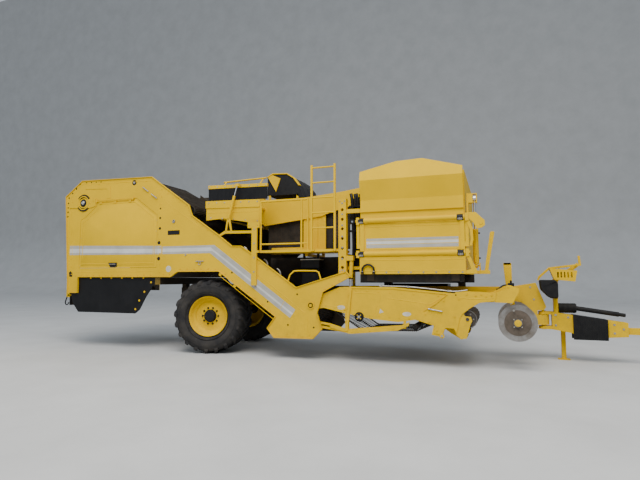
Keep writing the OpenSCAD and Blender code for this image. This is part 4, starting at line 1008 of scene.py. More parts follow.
def make_hood():
    """Black hood over the sorting table, with the yellow sheet folded over its near edge."""
    near = [(-1.09, 3.48), (-1.09, 3.90), (-0.96, 3.965), (-0.61, 3.945), (-0.45, 3.84), (-0.32, 3.67),
            (-0.215, 3.40), (-0.30, 3.40), (-0.40, 3.48)]
    hood = Piece("hood_cover", "chassis", "black_plastic")
    hood.slab(near, -0.75, 0.30)
    for y in (-0.55, -0.25, 0.05, 0.25):
        hood.tube([(-1.088, y, 3.50), (-1.088, y, 3.895), (-0.958, y, 3.963), (-0.61, y, 3.943),
                   (-0.451, y, 3.838), (-0.322, y, 3.668), (-0.22, y, 3.41)], 0.010, 8)
    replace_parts(hood.done(bevel=0.006), "hood")
    sheet = Piece("hood_sheet", "chassis", "painted_yellow")
    sheet.slab([(-1.113, 3.905), (-0.965, 3.99), (-0.60, 3.968), (-0.43, 3.855), (-0.30, 3.68), (-0.32, 3.67),
                (-0.45, 3.84), (-0.61, 3.945), (-0.96, 3.965), (-1.09, 3.90)], -0.77, -0.66)
    sheet.slab([(-1.075, 3.90), (-0.96, 3.95), (-0.763, 3.857), (-0.872, 3.56), (-0.984, 3.75)], -0.77, -0.75)
    for x in (-1.06, -0.38):
        sheet.box((x, -0.75, 3.39), (x + 0.05, -0.72, 3.49))
    sheet.done(bevel=0.002)


def make_rails():
    """Railing and ladder of round tube, and the head plate of the platform's post."""
    y = SKIN + 0.06
    rails = Piece("rail_tubes", "chassis", "painted_yellow")
    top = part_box("railing")[1][2] - 0.021
    for x in (-0.895, 0.03, 0.17):
        rails.tube([(x, y, 2.2), (x, y, top)], 0.021, 14)
    rails.tube([(-0.895, y, top), (0.17, y, top)], 0.021, 14)
    rails.tube([(-0.895, y, 2.33), (0.17, y, 2.33)], 0.017, 14)
    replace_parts(rails.done(), "railing")
    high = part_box("ladder")[1]
    steps = Piece("ladder_tubes", "steps", "painted_yellow")
    for x in (LADDER_X - LADDER_HALF, LADDER_X + LADDER_HALF):
        steps.box((x - 0.02, -1.538, 2.155), (x + 0.02, -1.502, high[2]))
    for k in range(5):
        z = 2.623 + 0.305 * k
        steps.tube([(LADDER_X - LADDER_HALF, -1.52, z), (LADDER_X + LADDER_HALF, -1.52, z)], 0.015, 12)
    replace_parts(steps.done(bevel=0.003), "ladder")
    head = Piece("post_head", "chassis", "painted_yellow")
    head.box((-1.17, SKIN - 0.02, 2.675), (-0.89, SKIN + 0.02, 2.795))
    head.bolts([(x, SKIN - 0.02, 2.74) for x in (-1.13, -0.93)], TO_RIGHT, 0.011)
    head.done(bevel=0.002)


def rounded_slab(piece, corners, r, y0, y1, edge=0.02):
    """Slab with rounded corners and softened sides."""
    line = []
    n = len(corners)
    for i, (x, z) in enumerate(corners):
        a, b = Vector(corners[i - 1]), Vector(corners[(i + 1) % n])
        c = Vector((x, z))
        p, q = c + (a - c).normalized() * r, c + (b - c).normalized() * r
        for k in range(7):
            t = k / 6
            m = p.lerp(c, t).lerp(c.lerp(q, t), t)
            line.append((m.x, m.y))
    mid_x = sum(x for x, _ in line) / len(line)
    mid_z = sum(z for _, z in line) / len(line)
    small = [(mid_x + (x - mid_x) * 0.9, mid_z + (z - mid_z) * 0.9) for x, z in line]
    piece.loft([on_side(small, y0), on_side(line, y0 + edge), on_side(line, y1 - edge), on_side(small, y1)])


def make_rack():
    """Black case on the drawbar's head, and the arm and slotted basket that hold the hoses' ends."""
    case = Piece("front_case", "towbar", "black_plastic")
    rounded_slab(case, [(4.51, 1.59), (4.80, 1.59), (4.845, 1.54), (4.845, 1.2425), (4.68, 1.2425),
                        (4.53, 1.40)], 0.04,
                 DRAW_Y - 0.355, DRAW_Y - 0.16, 0.03)
    case.box((4.72, DRAW_Y - 0.30, 1.2305), (4.84, DRAW_Y + 0.02, 1.2425))
    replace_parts(case.done(smooth=50), "guard_box")
    arm = Piece("rack_arm", "towbar", "painted_yellow")
    arm.slab([(4.495, 1.58), (4.525, 1.66), (4.72, 1.84), (5.255, 1.903), (5.242, 2.063), (5.282, 2.063),
              (5.30, 1.868), (4.738, 1.801), (4.555, 1.63), (4.53, 1.58)], DRAW_Y - 0.018, DRAW_Y + 0.018)
    arm.rod((5.21, DRAW_Y - 0.03, 1.885), (5.21, DRAW_Y + 0.155, 1.885), 0.014, sides=16)
    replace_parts(arm.done(bevel=0.003), "hose_rack")
    basket = Piece("rack_basket", "towbar", "painted_yellow")
    slots = [[(x, 1.635), (x, 1.745), (x + 0.026, 1.745), (x + 0.026, 1.635)]
             for x in (4.855 + 0.06 * k for k in range(5))]
    side = [(4.716, 1.817), (5.209, 1.77), (5.168, 1.558), (4.799, 1.596)]
    for y in (DRAW_Y - 0.15, DRAW_Y + 0.028):
        basket.plate(side, slots, y, y + 0.012)
    for a, b in ((side[1], side[2]), (side[2], side[3]), (side[3], side[0])):
        basket.fold([a, b], DRAW_Y - 0.138, DRAW_Y + 0.028)
    basket.box((4.895, DRAW_Y - 0.010, 1.59), (4.915, DRAW_Y + 0.010, 1.83))
    basket.done()
    dark = Piece("rack_hoses", "towbar", "black_plastic")
    for k in range(6):
        x = 4.86 + 0.055 * k
        dark.tube([(x, DRAW_Y - 0.09 + 0.02 * (k % 2), 1.61),
                   (x + 0.01, DRAW_Y - 0.09 + 0.02 * (k % 2), 1.78)], 0.02, 12)
    dark.done()


make_housing()
make_cleaner()
make_hood()
make_rails()
make_stripes()
make_housing_trim()
make_door_trim()
make_left_trim()


# Rear rubber sheet

SHEET = [(-5.96, 1.28), (-5.96, 1.73), (-3.56, 1.73), (-3.549, 1.60), (-3.654, 1.37), (-3.761, 1.227),
         (-3.965, 0.90), (-4.08, 0.815), (-5.79, 0.815), (-5.985, 1.025), (-6.04, 1.20), (-6.05, 1.28)]


def sheet_edges(z):
    """Rear and front edge of the sheet at a height."""
    hits = []
    for (x0, z0), (x1, z1) in zip(SHEET, SHEET[1:] + SHEET[:1]):
        if min(z0, z1) <= z <= max(z0, z1) and z0 != z1:
            hits.append(x0 + (x1 - x0) * (z - z0) / (z1 - z0))
    return min(hits), max(hits)


def make_sheet():
    """Hanging rubber sheet under the housing, clamped at its top, in slack folds lower down."""
    sheet = Piece("rear_sheet", "chassis", "sheet_rubber")
    rows, columns = 44, 90
    grids = []
    for back in (0, 1):
        grid = []
        for i in range(rows + 1):
            z = 1.7295 - 0.9140 * i / rows
            x0, x1 = sheet_edges(z)
            loose = min(1.0, i / rows * 1.6) ** 1.5
            line = []
            for k in range(columns + 1):
                f = k / columns
                x = x0 + (x1 - x0) * f
                wave = (math.sin(x * 9.0 + 0.6 * math.sin(z * 5.0)) * 0.006
                        + math.sin(x * 21.0 + 3.0 * z) * 0.0025
                        + 0.010 * math.exp(-((f - 0.93) / 0.035) ** 2)) * loose
                line.append(sheet.bm.verts.new((x, -1.4665 + 0.004 * back - loose * 0.004 + wave, z)))
            grid.append(line)
        grids.append(grid)
    front, rear = grids
    for i in range(rows):
        for k in range(columns):
            sheet.bm.faces.new((front[i][k], front[i][k + 1], front[i + 1][k + 1], front[i + 1][k]))
            sheet.bm.faces.new((rear[i][k], rear[i + 1][k], rear[i + 1][k + 1], rear[i][k + 1]))
        for k in (0, columns):
            sheet.bm.faces.new((front[i][k], front[i + 1][k], rear[i + 1][k], rear[i][k]))
    for i in (0, rows):
        for k in range(columns):
            sheet.bm.faces.new((front[i][k], front[i][k + 1], rear[i][k + 1], rear[i][k]))
    sheet = sheet.done(smooth=80)
    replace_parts(sheet, "rear_skirt")


make_sheet()


# Intake: the walls' fittings, bearings, discs and rollers

WALL = -1.462
DOUBLED = WALL - 0.012


def make_intake_trim():
    """Bolts, creases, blank signs and a grip on the intake's right wall."""
    bolts = Piece("intake_bolts", "intake", "painted_yellow")
    for a, b, n in (((0.60, 1.30), (0.98, 1.42), 3), ((1.18, 1.39), (2.95, 1.29), 9),
                    ((0.56, 1.09), (0.95, 1.01), 3), ((1.45, 0.92), (2.20, 0.88), 5)):
        bolts.bolts(spaced((a[0], WALL, a[1]), (b[0], WALL, b[1]), n), TO_RIGHT)
    bolts.bolts(on_side([(3.226, 1.334), (3.38, 1.317), (3.475, 1.337), (3.556, 1.307), (3.646, 1.323),
                         (3.011, 0.935), (2.50, 0.97), (2.62, 1.07), (2.83, 1.22), (2.559, 0.83),
                         (3.09, 1.25), (2.70, 0.68)],
                        DOUBLED),
                TO_RIGHT, 0.014, 0.012)
    bolts.bolts(on_side([(WEB_BEARING[0] + 0.045 * math.cos(t), WEB_BEARING[1] + 0.045 * math.sin(t))
                         for t in (math.pi / 4 + math.pi / 2 * k for k in range(4))], WALL - 0.024),
                TO_RIGHT, 0.008, 0.007)
    bolts.bolts(on_side([(1.04, 1.30), (1.01, 1.05), (0.99, 0.80)], WALL - 0.03), TO_RIGHT, 0.012)
    bolts.bolts(on_side([(1.10, 0.592), (1.45, 0.63), (1.90, 0.68)], WALL - 0.02), TO_RIGHT, 0.010)
    bolts.done()
    ridges = Piece("intake_creases", "intake", "painted_yellow")
    for line in ([(1.653, 1.364), (1.652, 1.23), (1.51, 0.891)],
                 [(1.789, 1.248), (2.581, 1.146), (2.86, 1.30)], [(0.55, 1.10), (0.93, 1.03)],
                 [(1.13, 1.34), (1.60, 1.33)]):
        ridges.crease(line, WALL)
    ridges.crease([(3.06, 1.28), (3.30, 1.25), (3.68, 1.27)], DOUBLED)
    ridges.done()
    signs = Piece("intake_signs", "intake", "painted_yellow", LOOKS["sign_pale"])
    for x, z in ((0.879, 1.055), (2.155, 0.957)):
        oval = [(x + 0.080 * math.cos(t), z + 0.040 * math.sin(t))
                for t in (2 * math.pi * k / 32 for k in range(32))]
        signs.slab(oval, WALL - 0.0015, WALL)
    signs.slab([(1.630, 0.955), (1.652, 1.047), (1.722, 0.983)], WALL - 0.0015, WALL)
    signs.done()
    grips = zinc_piece("intake_fittings", "intake")
    x, z = WEB_BEARING
    grips.rod((x, WALL - 0.024, z), (x, WALL - 0.034, z), 0.026, sides=24)
    grips.rod((2.548, DOUBLED - 0.02, 1.064), (2.801, DOUBLED - 0.02, 1.022), 0.011, sides=12)
    for x, z in ((2.56, 1.062), (2.79, 1.024)):
        grips.rod((x, DOUBLED, z), (x, DOUBLED - 0.025, z), 0.013, sides=12)
    grips.rod((2.784, WALL - 0.02, 0.583), (2.784, WALL - 0.032, 0.583), 0.022, sides=20)
    grips.done()


def make_discs():
    """Soil rings on the coulter discs, and the cap in front of the right disc's hub."""
    for joint, body in (("disc_right_spin", "disc_r"), ("disc_middle_spin", "disc_m"),
                        ("disc_left_spin", "disc_l")):
        centre = Vector(JOINTS[joint]["pos_m"])
        soil = Piece(body + "_soil", body, "bare_steel", LOOKS["worn_soil"])
        soil.revolve(centre, [(0.075, -0.0095), (0.078, -0.0125), (0.205, -0.0115), (0.222, -0.0095)], 64)
        soil.revolve(centre, [(0.075, 0.0055), (0.078, 0.0085), (0.22, 0.007), (0.235, 0.0055)], 64)
        soil.bolts([centre + Vector((0.047 * math.cos(t), -0.028, 0.047 * math.sin(t)))
                    for t in (math.pi * k / 2 for k in range(4))], TO_RIGHT, 0.007, 0.006, False)
        soil.done()
    cap = Piece("disc_cap", "intake", "painted_yellow")
    front = Vector(JOINTS["disc_right_spin"]["pos_m"]) + Vector((0, -0.066, 0))
    cap.lathe(front, front + Vector(TO_RIGHT), [(0.0, 0.058), (0.016, 0.058), (0.024, 0.050), (0.026, 0.02)],
              32)
    cap.done()
    bolts = zinc_piece("disc_cap_bolts", "intake")
    bolts.bolts([front + Vector((0.064 * a, 0, 0.064 * b)) for a in (-1, 1) for b in (-1, 1)],
                TO_RIGHT, 0.008)
    bolts.bolts(on_side([(3.963, 1.185), (4.0, 1.06)], -1.404), TO_RIGHT, 0.012)
    bolts.done()


def make_rollers():
    """Lagging and steel rims of the haulm roller."""
    centre = Vector(JOINTS["roller_spin"]["pos_m"])
    radius = 0.16
    ribs = Piece("roller_lagging", "front_roller", "roller_rubber")
    rims = Piece("roller_rims", "front_roller", "bare_steel")
    y0, y1 = -1.402, -0.058
    for k in range(18):
        t = 2 * math.pi * k / 18
        c, d = math.cos(t), math.sin(t)
        ribs.loft([[(centre.x + (radius + h) * c - w * d, y, centre.z + (radius + h) * d + w * c)
                    for w, h in ((-0.012, -0.004), (-0.008, 0.007), (0.008, 0.007), (0.012, -0.004))]
                   for y in (y0 + 0.012, y1 - 0.012)])
    middle = Vector((centre.x, 0, centre.z))
    for y, way in ((y0, -1), (y1, 1)):
        rims.revolve(middle, [(0.150, y), (0.152, y + way * 0.004), (radius - 0.002, y + way * 0.004),
                              (radius + 0.001, y - way * 0.008)], 48)
        rims.bolts([(centre.x + 0.10 * math.cos(a), y, centre.z + 0.10 * math.sin(a))
                    for a in (math.pi * k / 3 for k in range(6))], (0, way, 0), 0.009)
    ribs.done()
    rims.done()


make_intake_trim()
make_discs()
make_rollers()


# Bunker, column and sorting platform

def make_bunker_trim():
    """Hinge sleeves, a bearing cap, creases and bolts of the bunker and its folding wall."""
    lower = Piece("lower_sleeves", "lower_wall", "painted_yellow")
    upper = Piece("upper_sleeves", "upper_wall", "painted_yellow")
    for x in (1.45, 1.95, 2.45, 2.95):
        lower.rod((x, PIPE_Y, LOWER_PIPE_Z), (x + 0.09, PIPE_Y, LOWER_PIPE_Z), 0.0545, sides=28)
        upper.rod((x - 0.1, PIPE_Y, UPPER_PIPE_Z), (x - 0.01, PIPE_Y, UPPER_PIPE_Z), 0.0545, sides=28)
    lower.done(bevel=0.003)
    upper.done(bevel=0.003)
    caps = Piece("bearing_caps", "chassis", "painted_dark")
    chrome = Piece("bearing_bolts", "chassis", "rod_chrome")
    x, y, z, r = 1.135, -1.51, 2.715, 0.05
    caps.rod((x, y, z), (x, y - 0.02, z), r, r * 0.9, sides=32)
    chrome.rod((x, y - 0.02, z), (x, y - 0.032, z), r * 0.45, r * 0.4, sides=24)
    caps.done()
    chrome.done()
    ribs = Piece("bunker_creases", "chassis", "painted_yellow")
    ribs.crease([(1.30, 1.96), (3.20, 1.96)], SKIN, 0.018, 0.005)
    ribs.crease([(1.30, 1.76), (3.20, 1.76)], SKIN, 0.018, 0.005)
    for x in (1.28, 3.22):
        ribs.crease([(x, 1.73), (x, 1.99)], SKIN, 0.014, 0.004)
    ribs.done()
    bolts = zinc_piece("bunker_bolts", "chassis")
    bolts.bolts(spaced((1.33, SKIN, 1.73), (3.17, SKIN, 1.73), 9), TO_RIGHT)
    bolts.bolts([(0.91, -1.47, z) for z in (1.78, 2.0, 2.22, 2.44, 2.66, 2.88, 3.10)], TO_RIGHT, 0.012, 0.010)
    bolts.bolts([(x, -1.47, z) for x in (0.86, 0.96) for z in (1.76, 3.14)], TO_RIGHT, 0.010)
    bolts.done()
    panel = Piece("wall_creases", "lower_wall", "painted_yellow")
    panel.crease([(1.40, 2.60), (3.11, 2.60)], WALL_FACE, 0.018, 0.005)
    panel.crease([(1.40, 2.17), (3.11, 2.17)], WALL_FACE, 0.018, 0.005)
    panel.done()


def make_cylinder_trim():
    """Gland ring of the lift cylinder, and sleeve and ports of the folding wall's cylinder."""
    top, low, radius = Vector((1.085, -1.412, 2.0)), Vector((1.045, -1.412, 1.4)), 0.040
    along = (low - top).normalized()
    gland = Piece("lift_barrel_gland", "intake_barrel", "painted_dark")
    gland.lathe(top + along * 0.372, low, [(0.0, radius + 0.002), (0.02, radius + 0.002),
                                           (0.0265, radius - 0.003),
                                            (0.0275, 0.0245)], 32)
    gland.done()
    foot, eye = Vector((3.395, -1.15, 1.85)), Vector((3.395, -1.33, 3.075))
    along = (eye - foot).normalized()
    sleeve = Piece("boom_sleeve", "wall_barrel", "painted_yellow")
    sleeve.lathe(foot + along * 0.06, eye, [(0.0, 0.046), (0.004, 0.0505), (0.55, 0.0505), (0.56, 0.053),
                                            (0.61, 0.053), (0.615, 0.046)], 40)
    sleeve.done()
    gland = Piece("boom_barrel_ports", "wall_barrel", "painted_dark")
    for s in (0.14, 0.60):
        p = foot + along * s
        gland.rod(p + Vector((0.03, 0, 0)), p + Vector((0.066, 0, 0)), 0.014, sides=16)
        gland.rod(p + Vector((0.066, 0, 0)), p + Vector((0.078, 0, 0)), 0.018, sides=6)
    gland.done()


def make_platform_trim():
    """Tread plate lugs, and the bolts and crease of the boards."""
    lugs = Piece("tread_plate", "chassis", "painted_yellow")
    for i in range(29):
        for k in range(11):
            x, y = -0.88 + 0.058 * i, -1.43 + 0.062 * k
            turn = 1 if (i + k) % 2 else -1
            c, d = 0.016 * 0.7071, 0.016 * 0.7071 * turn
            lugs.faces([(x - c, y - d, 2.2), (x + 0.3 * d, y - 0.3 * c, 2.2), (x + c, y + d, 2.2),
                        (x - 0.3 * d, y + 0.3 * c, 2.2), (x, y, 2.2025)],
                       [(0, 1, 4), (1, 2, 4), (2, 3, 4), (3, 0, 4)])
    lugs.done(smooth=80)
    bolts = zinc_piece("board_bolts", "chassis")
    for a, b, n in (((-2.20, 3.28), (-1.00, 3.25), 7), ((-2.19, 3.63), (-0.80, 3.60), 8)):
        y = -1.414 if a[1] < 3.5 else -1.41
        bolts.bolts(spaced((a[0], y, a[1]), (b[0], y, b[1]), n), TO_RIGHT, 0.010)
    bolts.bolts(spaced((-2.15, -1.4, 2.95), (-1.0, -1.4, 2.84), 5), TO_RIGHT, 0.010)
    bolts.bolts(spaced((-0.997, -1.54, 1.46), (-0.997, -1.54, 2.64), 5), TO_RIGHT, 0.012)
    bolts.done()
    ribs = Piece("board_creases", "chassis", "painted_yellow")
    ribs.crease([(-2.24, 3.06), (-0.96, 3.04)], -1.40)
    ribs.done()


def make_intake_plates():
    """Plates, bars and pipe on the intake's right wall."""
    plates = Piece("intake_plates", "intake", "painted_yellow")
    plates.slab([(1.11, 1.458), (1.889, 1.452), (3.03, 1.346), (3.026, 1.312), (1.889, 1.418), (1.11, 1.424)],
                WALL - 0.01, WALL)
    plates.slab([(1.054, 1.428), (1.104, 1.428), (1.02, 0.60), (0.957, 0.60)], WALL - 0.03, WALL + 0.02)
    bar = [(0.649, 0.668), (0.649, 0.742), (1.04, 0.628), (1.103, 0.628), (1.985, 0.723), (2.202, 0.812),
           (2.19, 0.745), (1.985, 0.65), (1.102, 0.557), (1.04, 0.557)]
    plates.slab([(0.398, 0.705), (0.398, 0.775)] + bar[1:] + bar[:1], WALL, WALL + 0.021)
    plates.slab(bar, WALL - 0.02, WALL)
    # Doubled plate at the front with its eyes
    plates.plate([(2.318, 0.862), (2.318, 0.905), (2.466, 1.03), (2.64, 1.13), (2.89, 1.335), (3.03, 1.346),
                  (3.034, 1.371), (3.243, 1.387), (3.727, 1.364), (3.70, 1.22), (3.445, 1.188), (3.27, 1.08),
                  (3.15, 0.985), (3.10, 0.90), (3.043, 0.64), (2.993, 0.72), (2.847, 0.728), (2.784, 0.60),
                  (2.64, 0.625), (2.655, 0.76)],
                 [], WALL, DOUBLED)
    plates.rod((2.784, WALL - 0.02, 0.583), (2.784, WALL + 0.024, 0.583), 0.042, sides=32)
    plates.plate([(3.69, 1.20), (3.72, 1.36), (3.885, 1.441), (3.90, 1.498), (3.957, 1.496), (4.098, 1.44),
                  (4.085, 1.367), (3.99, 1.19)], [ring(3.918, 1.445, 0.022, 20)], WALL, WALL + 0.024)
    plates.fold([(2.466, 1.03), (2.64, 1.13), (2.89, 1.335)], DOUBLED - 0.012, DOUBLED)
    plates.done(bevel=0.002)
    pipe = zinc_piece("intake_pipe", "intake")
    pipe.tube(rounded([(x, WALL + 0.010, z) for x, z in ((1.64, 1.476), (1.9, 1.47), (2.179, 1.462),
                                                         (2.55, 1.43), (2.903, 1.392),
                                                          (3.04, 1.384), (3.243, 1.41))]), 0.012, 12)
    for x, z in ((1.66, 1.476), (2.17, 1.462), (2.89, 1.394)):
        pipe.box((x, WALL - 0.005, z - 0.020), (x + 0.04, WALL + 0.026, z + 0.016))
    pipe.done()
    dark = Piece("intake_dark", "intake", "black_plastic")
    dark.revolve(Vector((WEB_BEARING[0], 0, WEB_BEARING[1])),
                 [(0.028, WALL), (0.028, WALL - 0.026), (0.062, WALL - 0.026),
                                             (0.070, WALL - 0.008), (0.090, WALL - 0.008), (0.090, WALL)], 48)
    for x, z, r in ((3.226, 1.334, 0.022), (3.38, 1.317, 0.020), (3.475, 1.337, 0.013), (3.556, 1.307, 0.013),
                    (3.646, 1.323, 0.013), (3.011, 0.935, 0.02), (2.50, 0.97, 0.012), (2.83, 1.22, 0.012),
                    (3.04, 1.32, 0.012)):
        dark.rod((x, DOUBLED - 0.0015, z), (x, DOUBLED + 0.001, z), r, sides=24)
    dark.done()


def pipe_strap(piece, x, z, e0, e1, outer, angles):
    """Strap bent round a hinge pipe, from x + e0 to x + e1, over the given angles."""
    piece.loft([[(x + e, PIPE_Y - r * math.cos(t), z + r * math.sin(t))
                 for e, r in ((e0, 0.056), (e0, outer), (e1, outer), (e1, 0.056))] for t in angles])


def make_bunker_dark():
    """Black sheets under the bunker (the side ones the belt's return run, the middle one painted shade in the
    gap under it), clamps on its hinge pipes, the link plate, consoles and valve block.
    """
    sheets = Piece("return_and_shade_sheets", "chassis", "belt_rubber")
    for y in (-1.39, 1.378):
        sheets.box((1.25, y, 1.535), (3.185, y + 0.012, 1.70))
        sheets.box((1.25, y, 1.535), (3.185, y + 0.024, 1.547))
    # Middle sheet: painted shade, a dark sheet where the gap under the bunker lies in shadow
    sheets.slab([(1.15, 1.531), (1.15, 1.699), (3.30, 1.699), (3.30, 1.531)], 0.095, 0.107)
    sheets.done()
    bands = Piece("pipe_clamps_lower", "chassis", "black_plastic")
    cross = zinc_piece("clamp_plates", "chassis")
    upper = Piece("pipe_clamps_upper", "lower_wall", "black_plastic")
    upper_cross = zinc_piece("clamp_plates_upper", "lower_wall")
    for piece, plate, z, tilt in ((bands, cross, LOWER_PIPE_Z, -0.55),
                                  (upper, upper_cross, UPPER_PIPE_Z, -0.60)):
        for x in (1.30, 3.145):
            piece.rod((x - 0.055, PIPE_Y, z), (x + 0.055, PIPE_Y, z), 0.0575, sides=40)
            for a in (tilt - 0.30, tilt, tilt + 0.30):
                for x0 in (-0.035, 0.022):
                    pipe_strap(plate, x + x0, z, 0.0, 0.013, 0.0592, [a + t for t in (-0.16, 0.0, 0.16)])
            pipe_strap(plate, x, z, -0.012, 0.012, 0.0595,
                       [tilt - 0.42, tilt - 0.2, tilt, tilt + 0.2, tilt + 0.42])
            pipe_strap(plate, x, z, -0.048, 0.048, 0.0595, [tilt - 0.12, tilt, tilt + 0.12])
    for piece in (bands, cross, upper, upper_cross):
        piece.done()
    link = Piece("boom_link", "lower_wall", "painted_yellow")
    link.slab([(3.27, 2.76), (3.30, 2.80), (3.42, 2.795), (3.52, 2.69), (3.565, 2.65), (3.57, 2.56),
               (3.52, 2.52), (3.43, 2.50), (3.38, 2.60), (3.29, 2.70)], *LINK_Y)
    link.slab([(3.235, 2.66), (3.30, 2.66), (3.36, 2.52), (3.37, 2.30), (3.34, 2.20), (3.30, 2.20),
               (3.325, 2.32), (3.31, 2.50)],
              *LINK_Y)
    link.box((3.23, -1.512, 2.66), (3.30, -1.47, 2.70))
    link.rod((3.50, -1.518, 2.60), (3.50, -1.496, 2.60), 0.03, sides=24)
    link.done(bevel=0.002)
    foot = Piece("bunker_consoles", "chassis", "painted_yellow")
    foot.slab([(3.235, 2.02), (3.30, 2.02), (3.36, 1.88), (3.42, 1.76), (3.42, 1.70), (3.235, 1.70),
               (3.235, 1.76), (3.32, 1.78), (3.29, 1.90)], *LINK_Y)
    foot.box((3.23, -1.500, 1.70), (3.42, -1.24, 1.72))
    foot.box((3.467, -1.24, 1.70), (3.63, -1.16, 1.765))
    foot.slab([(3.54, 1.765), (3.60, 1.765), (3.625, 1.92), (3.72, 2.45), (3.705, 2.47), (3.66, 2.47),
               (3.645, 2.45), (3.565, 1.95)],
              -1.215, -1.195)
    foot.done(bevel=0.002)
    stand = Piece("valve_console", "intake", "painted_yellow")
    for y0, y1 in ((-0.46, -0.448), (-0.38, -0.368)):
        stand.slab([(3.90, 1.46), (4.01, 1.46), (4.01, 1.90), (3.99, 1.92), (3.87, 1.92), (3.86, 1.90)],
                   y0, y1)
    stand.box((3.865, -0.46, 1.88), (4.0, -0.368, 1.92))
    stand.done(bevel=0.002)
    valves = Piece("valve_block", "intake", "black_plastic")
    valves.box((3.93, -1.05, 1.44), (4.03, -0.62, 1.53))
    for k in range(5):
        y = -1.0 + 0.08 * k
        valves.rod((3.98, y, 1.53), (3.98, y, 1.56 + 0.02 * (k % 2)), 0.014, sides=12)
        valves.tube(rounded([(3.93, y, 1.49), (3.86, y, 1.49), (3.80, y - 0.01, 1.455),
                             (3.76, y - 0.02, 1.42), (3.72, y - 0.02, 1.41)]),
                    0.011, 8)
    valves.done(bevel=0.002)


def make_dark_inside():
    """Dark sheets that close the view under the sorting table, the platform and behind the column as painted
    shade, with boxes, pipes and a painted highlight on a box's top edge.
    """
    # Painted shade: dark ribbed sheets under the sorting table and the platform
    shade_apron = Piece("table_shade_sheets", "chassis", "belt_rubber")
    shade_apron.slab([(-1.10, 2.24), (-1.10, 2.80), (-0.15, 2.965), (0.50, 3.05), (0.83, 3.13), (0.83, 2.24)],
               -0.655, -0.648)
    shade_apron.slab([(-1.05, 2.08), (0.82, 2.08), (0.82, 1.66), (0.30, 1.50), (0.0, 1.42), (-0.35, 1.45),
                (-1.05, 1.80)], -0.64, -0.633)
    for k in range(9):
        x = -1.0 + 0.2 * k
        shade_apron.box((x, -0.66, 2.26), (x + 0.02, -0.655, 2.76))
    shade_apron.done()
    panel = Piece("table_panel", "chassis", "painted_yellow")
    panel.slab([(-0.22, 2.25), (-0.22, 2.99), (0.30, 3.03), (0.30, 2.25)], -0.72, -0.70)
    panel.crease([(-0.10, 2.30), (-0.10, 2.95)], -0.72, 0.03, 0.01)
    panel.crease([(0.12, 2.30), (0.12, 2.98)], -0.72, 0.03, 0.01)
    panel.box((-1.0, -0.70, 2.205), (-0.22, -0.66, 2.30))
    panel.done(bevel=0.002)
    boxes = Piece("hanging_boxes", "chassis", "black_plastic")
    boxes.box((-0.167, -1.0, 1.83), (0.259, -0.76, 2.005))
    boxes.box((-0.145, -1.0, 1.492), (0.239, -0.76, 1.745))
    boxes.box((-0.16, -0.90, 1.70), (-0.11, -0.85, 2.15))
    boxes.box((0.16, -0.90, 1.70), (0.21, -0.85, 2.15))
    boxes.done(bevel=0.01)
    # Pale grey strip on the upper box's top edge: a painted highlight
    edge_highlight = Piece("box_edge_highlight", "chassis", "bare_steel", LOOKS["stripe_grey"])
    edge_highlight.box((-0.172, -1.005, 2.005), (0.264, -0.755, 2.028))
    edge_highlight.done(bevel=0.003)
    pipes = Piece("column_pipes", "chassis", "painted_dark")
    for x, y, r in ((1.06, -1.22, 0.032), (1.12, -1.16, 0.028), (1.18, -1.22, 0.024), (1.23, -1.14, 0.03)):
        pipes.tube(rounded([(x, y, 1.80), (x + 0.01, y + 0.01, 2.3), (x, y, 2.8), (x - 0.02, y, 3.2),
                            (x - 0.05, y + 0.03, 3.32)]), r, 12)
    for z in (2.05, 2.55, 3.05):
        pipes.box((0.985, -1.25, z), (1.262, -1.10, z + 0.03))
    pipes.done()
    # Painted shade: a dark sheet behind the column's pipes
    wall = Piece("column_shade_sheet", "chassis", "belt_rubber")
    wall.slab([(0.99, 1.75), (0.99, 3.25), (1.268, 3.30), (1.268, 1.75)], -1.05, -1.04)
    wall.done()
    arcs = zinc_piece("guide_arcs", "chassis")
    for x, z in ((-1.36, 2.17), (-0.88, 1.90), (-0.58, 1.70)):
        arcs.tube([(x + 0.13 * math.cos(t) - 0.04, -1.32, z + 0.13 * math.sin(t))
                   for t in (0.15 * k for k in range(-3, 9))], 0.018, 10)
    arcs.done()
    bracket = Piece("rear_hook", "chassis", "painted_yellow")
    bracket.slab([(-6.50, 1.15), (-6.50, 1.60), (-6.44, 1.62), (-6.40, 1.50), (-6.39, 1.15)], -1.20, -1.18)
    bracket.box((-6.45, -1.20, 1.18), (-6.39, -0.88, 1.22))
    bracket.done(bevel=0.002)
    hook = Piece("rear_hook_eye", "chassis", "painted_dark")
    hook.tube(rounded([(-6.47, -1.19, 1.18), (-6.50, -1.19, 1.10), (-6.53, -1.19, 1.03), (-6.51, -1.19, 0.97),
                       (-6.45, -1.19, 0.97), (-6.42, -1.19, 1.02)]), 0.014, 10)
    hook.done()


make_bunker_trim()
make_cylinder_trim()
make_platform_trim()
make_intake_plates()
make_bunker_dark()
make_dark_inside()


# Drawbar, drive shaft and rear lamps

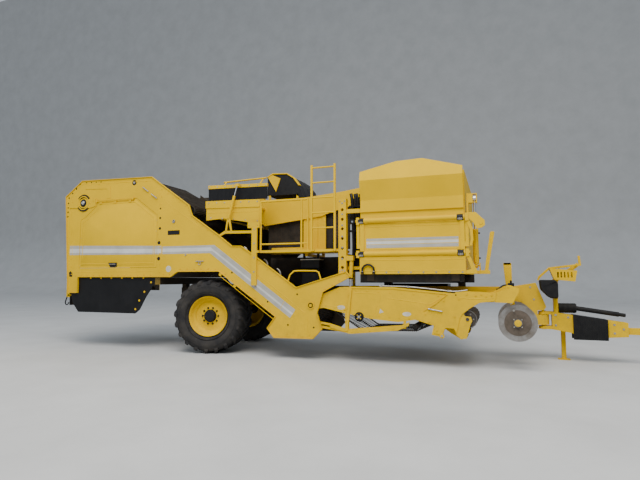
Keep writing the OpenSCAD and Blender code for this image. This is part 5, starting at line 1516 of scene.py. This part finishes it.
def make_front_trim():
    """Ribbed shaft guard and pad, and the bolts of the drawbar and the neck."""
    guard = Piece("shaft_bellows", "towbar", "guard_plastic")
    profile = []
    for k in range(13):
        s = 0.004 + 0.0235 * k
        profile += [(s, 0.0905), (s + 0.006, 0.0975), (s + 0.014, 0.0975), (s + 0.020, 0.0905)]
    guard.lathe((4.8563, DRAW_Y, 1.035), (5.18, DRAW_Y, 1.035),
                [(0.001, 0.085)] + profile + [(0.3225, 0.085)], 40)
    guard.done()
    pad = Piece("pad_ribs", "towbar", "black_plastic")
    for k in range(15):
        x = 5.118 + 0.039 * k
        top = 0.915 - 0.145 * (x - 5.104)
        low = 0.44
        for y0, y1 in ((DRAW_Y - 0.158, DRAW_Y - 0.15), (DRAW_Y + 0.15, DRAW_Y + 0.158)):
            pad.box((x, y0, low + 0.02), (x + 0.014, y1, top - 0.02))
    pad.done(bevel=0.002)
    bolts = zinc_piece("drawbar_bolts", "towbar")
    for side in (-1, 1):
        y = DRAW_Y + side * 0.11
        bolts.bolts([(4.80, y, 0.90), (4.80, y, 0.70), (5.02, y, 0.86), (5.80, y, 0.74), (5.80, y, 0.58),
                     (5.95, y, 0.66)],
                    (0, side, 0), 0.014, 0.012)
    bolts.done()
    neck = zinc_piece("neck_bolts", "chassis")
    neck.bolts(on_side([(4.05, 1.38), (4.12, 1.25), (4.36, 1.44), (4.42, 1.20), (4.40, 0.85), (4.40, 0.72)],
                       0.09),
               TO_RIGHT, 0.013, 0.011)
    neck.done()


def make_lamps():
    """Red lenses and blank marker plates at the rear."""
    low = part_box("rear_bar")[0]
    boards = Piece("lamp_boards", "chassis", "painted_dark")
    for side in (-1, 1):
        boards.box((low[0] + 0.010, min(side * 0.78, side * 1.15), 0.95),
                   (low[0] + 0.040, max(side * 0.78, side * 1.15), 1.30))
    boards.done(bevel=0.003)
    lens = Piece("rear_lenses", "chassis", "painted_dark", LOOKS["lamp_red"])
    plates = Piece("rear_markers", "chassis", "painted_dark", LOOKS["stripe_white"])
    for side in (-1, 1):
        y = side * 1.02
        for z in (1.20, 1.10):
            lens.rod((low[0] + 0.010, y, z), (low[0] + 0.002, y, z), 0.038, 0.030, sides=28)
        plates.box((low[0] + 0.004, y - 0.10, 0.965), (low[0] + 0.010, y + 0.10, 1.04))
    lens.done()
    plates.done()


make_rack()
make_front_trim()
make_lamps()
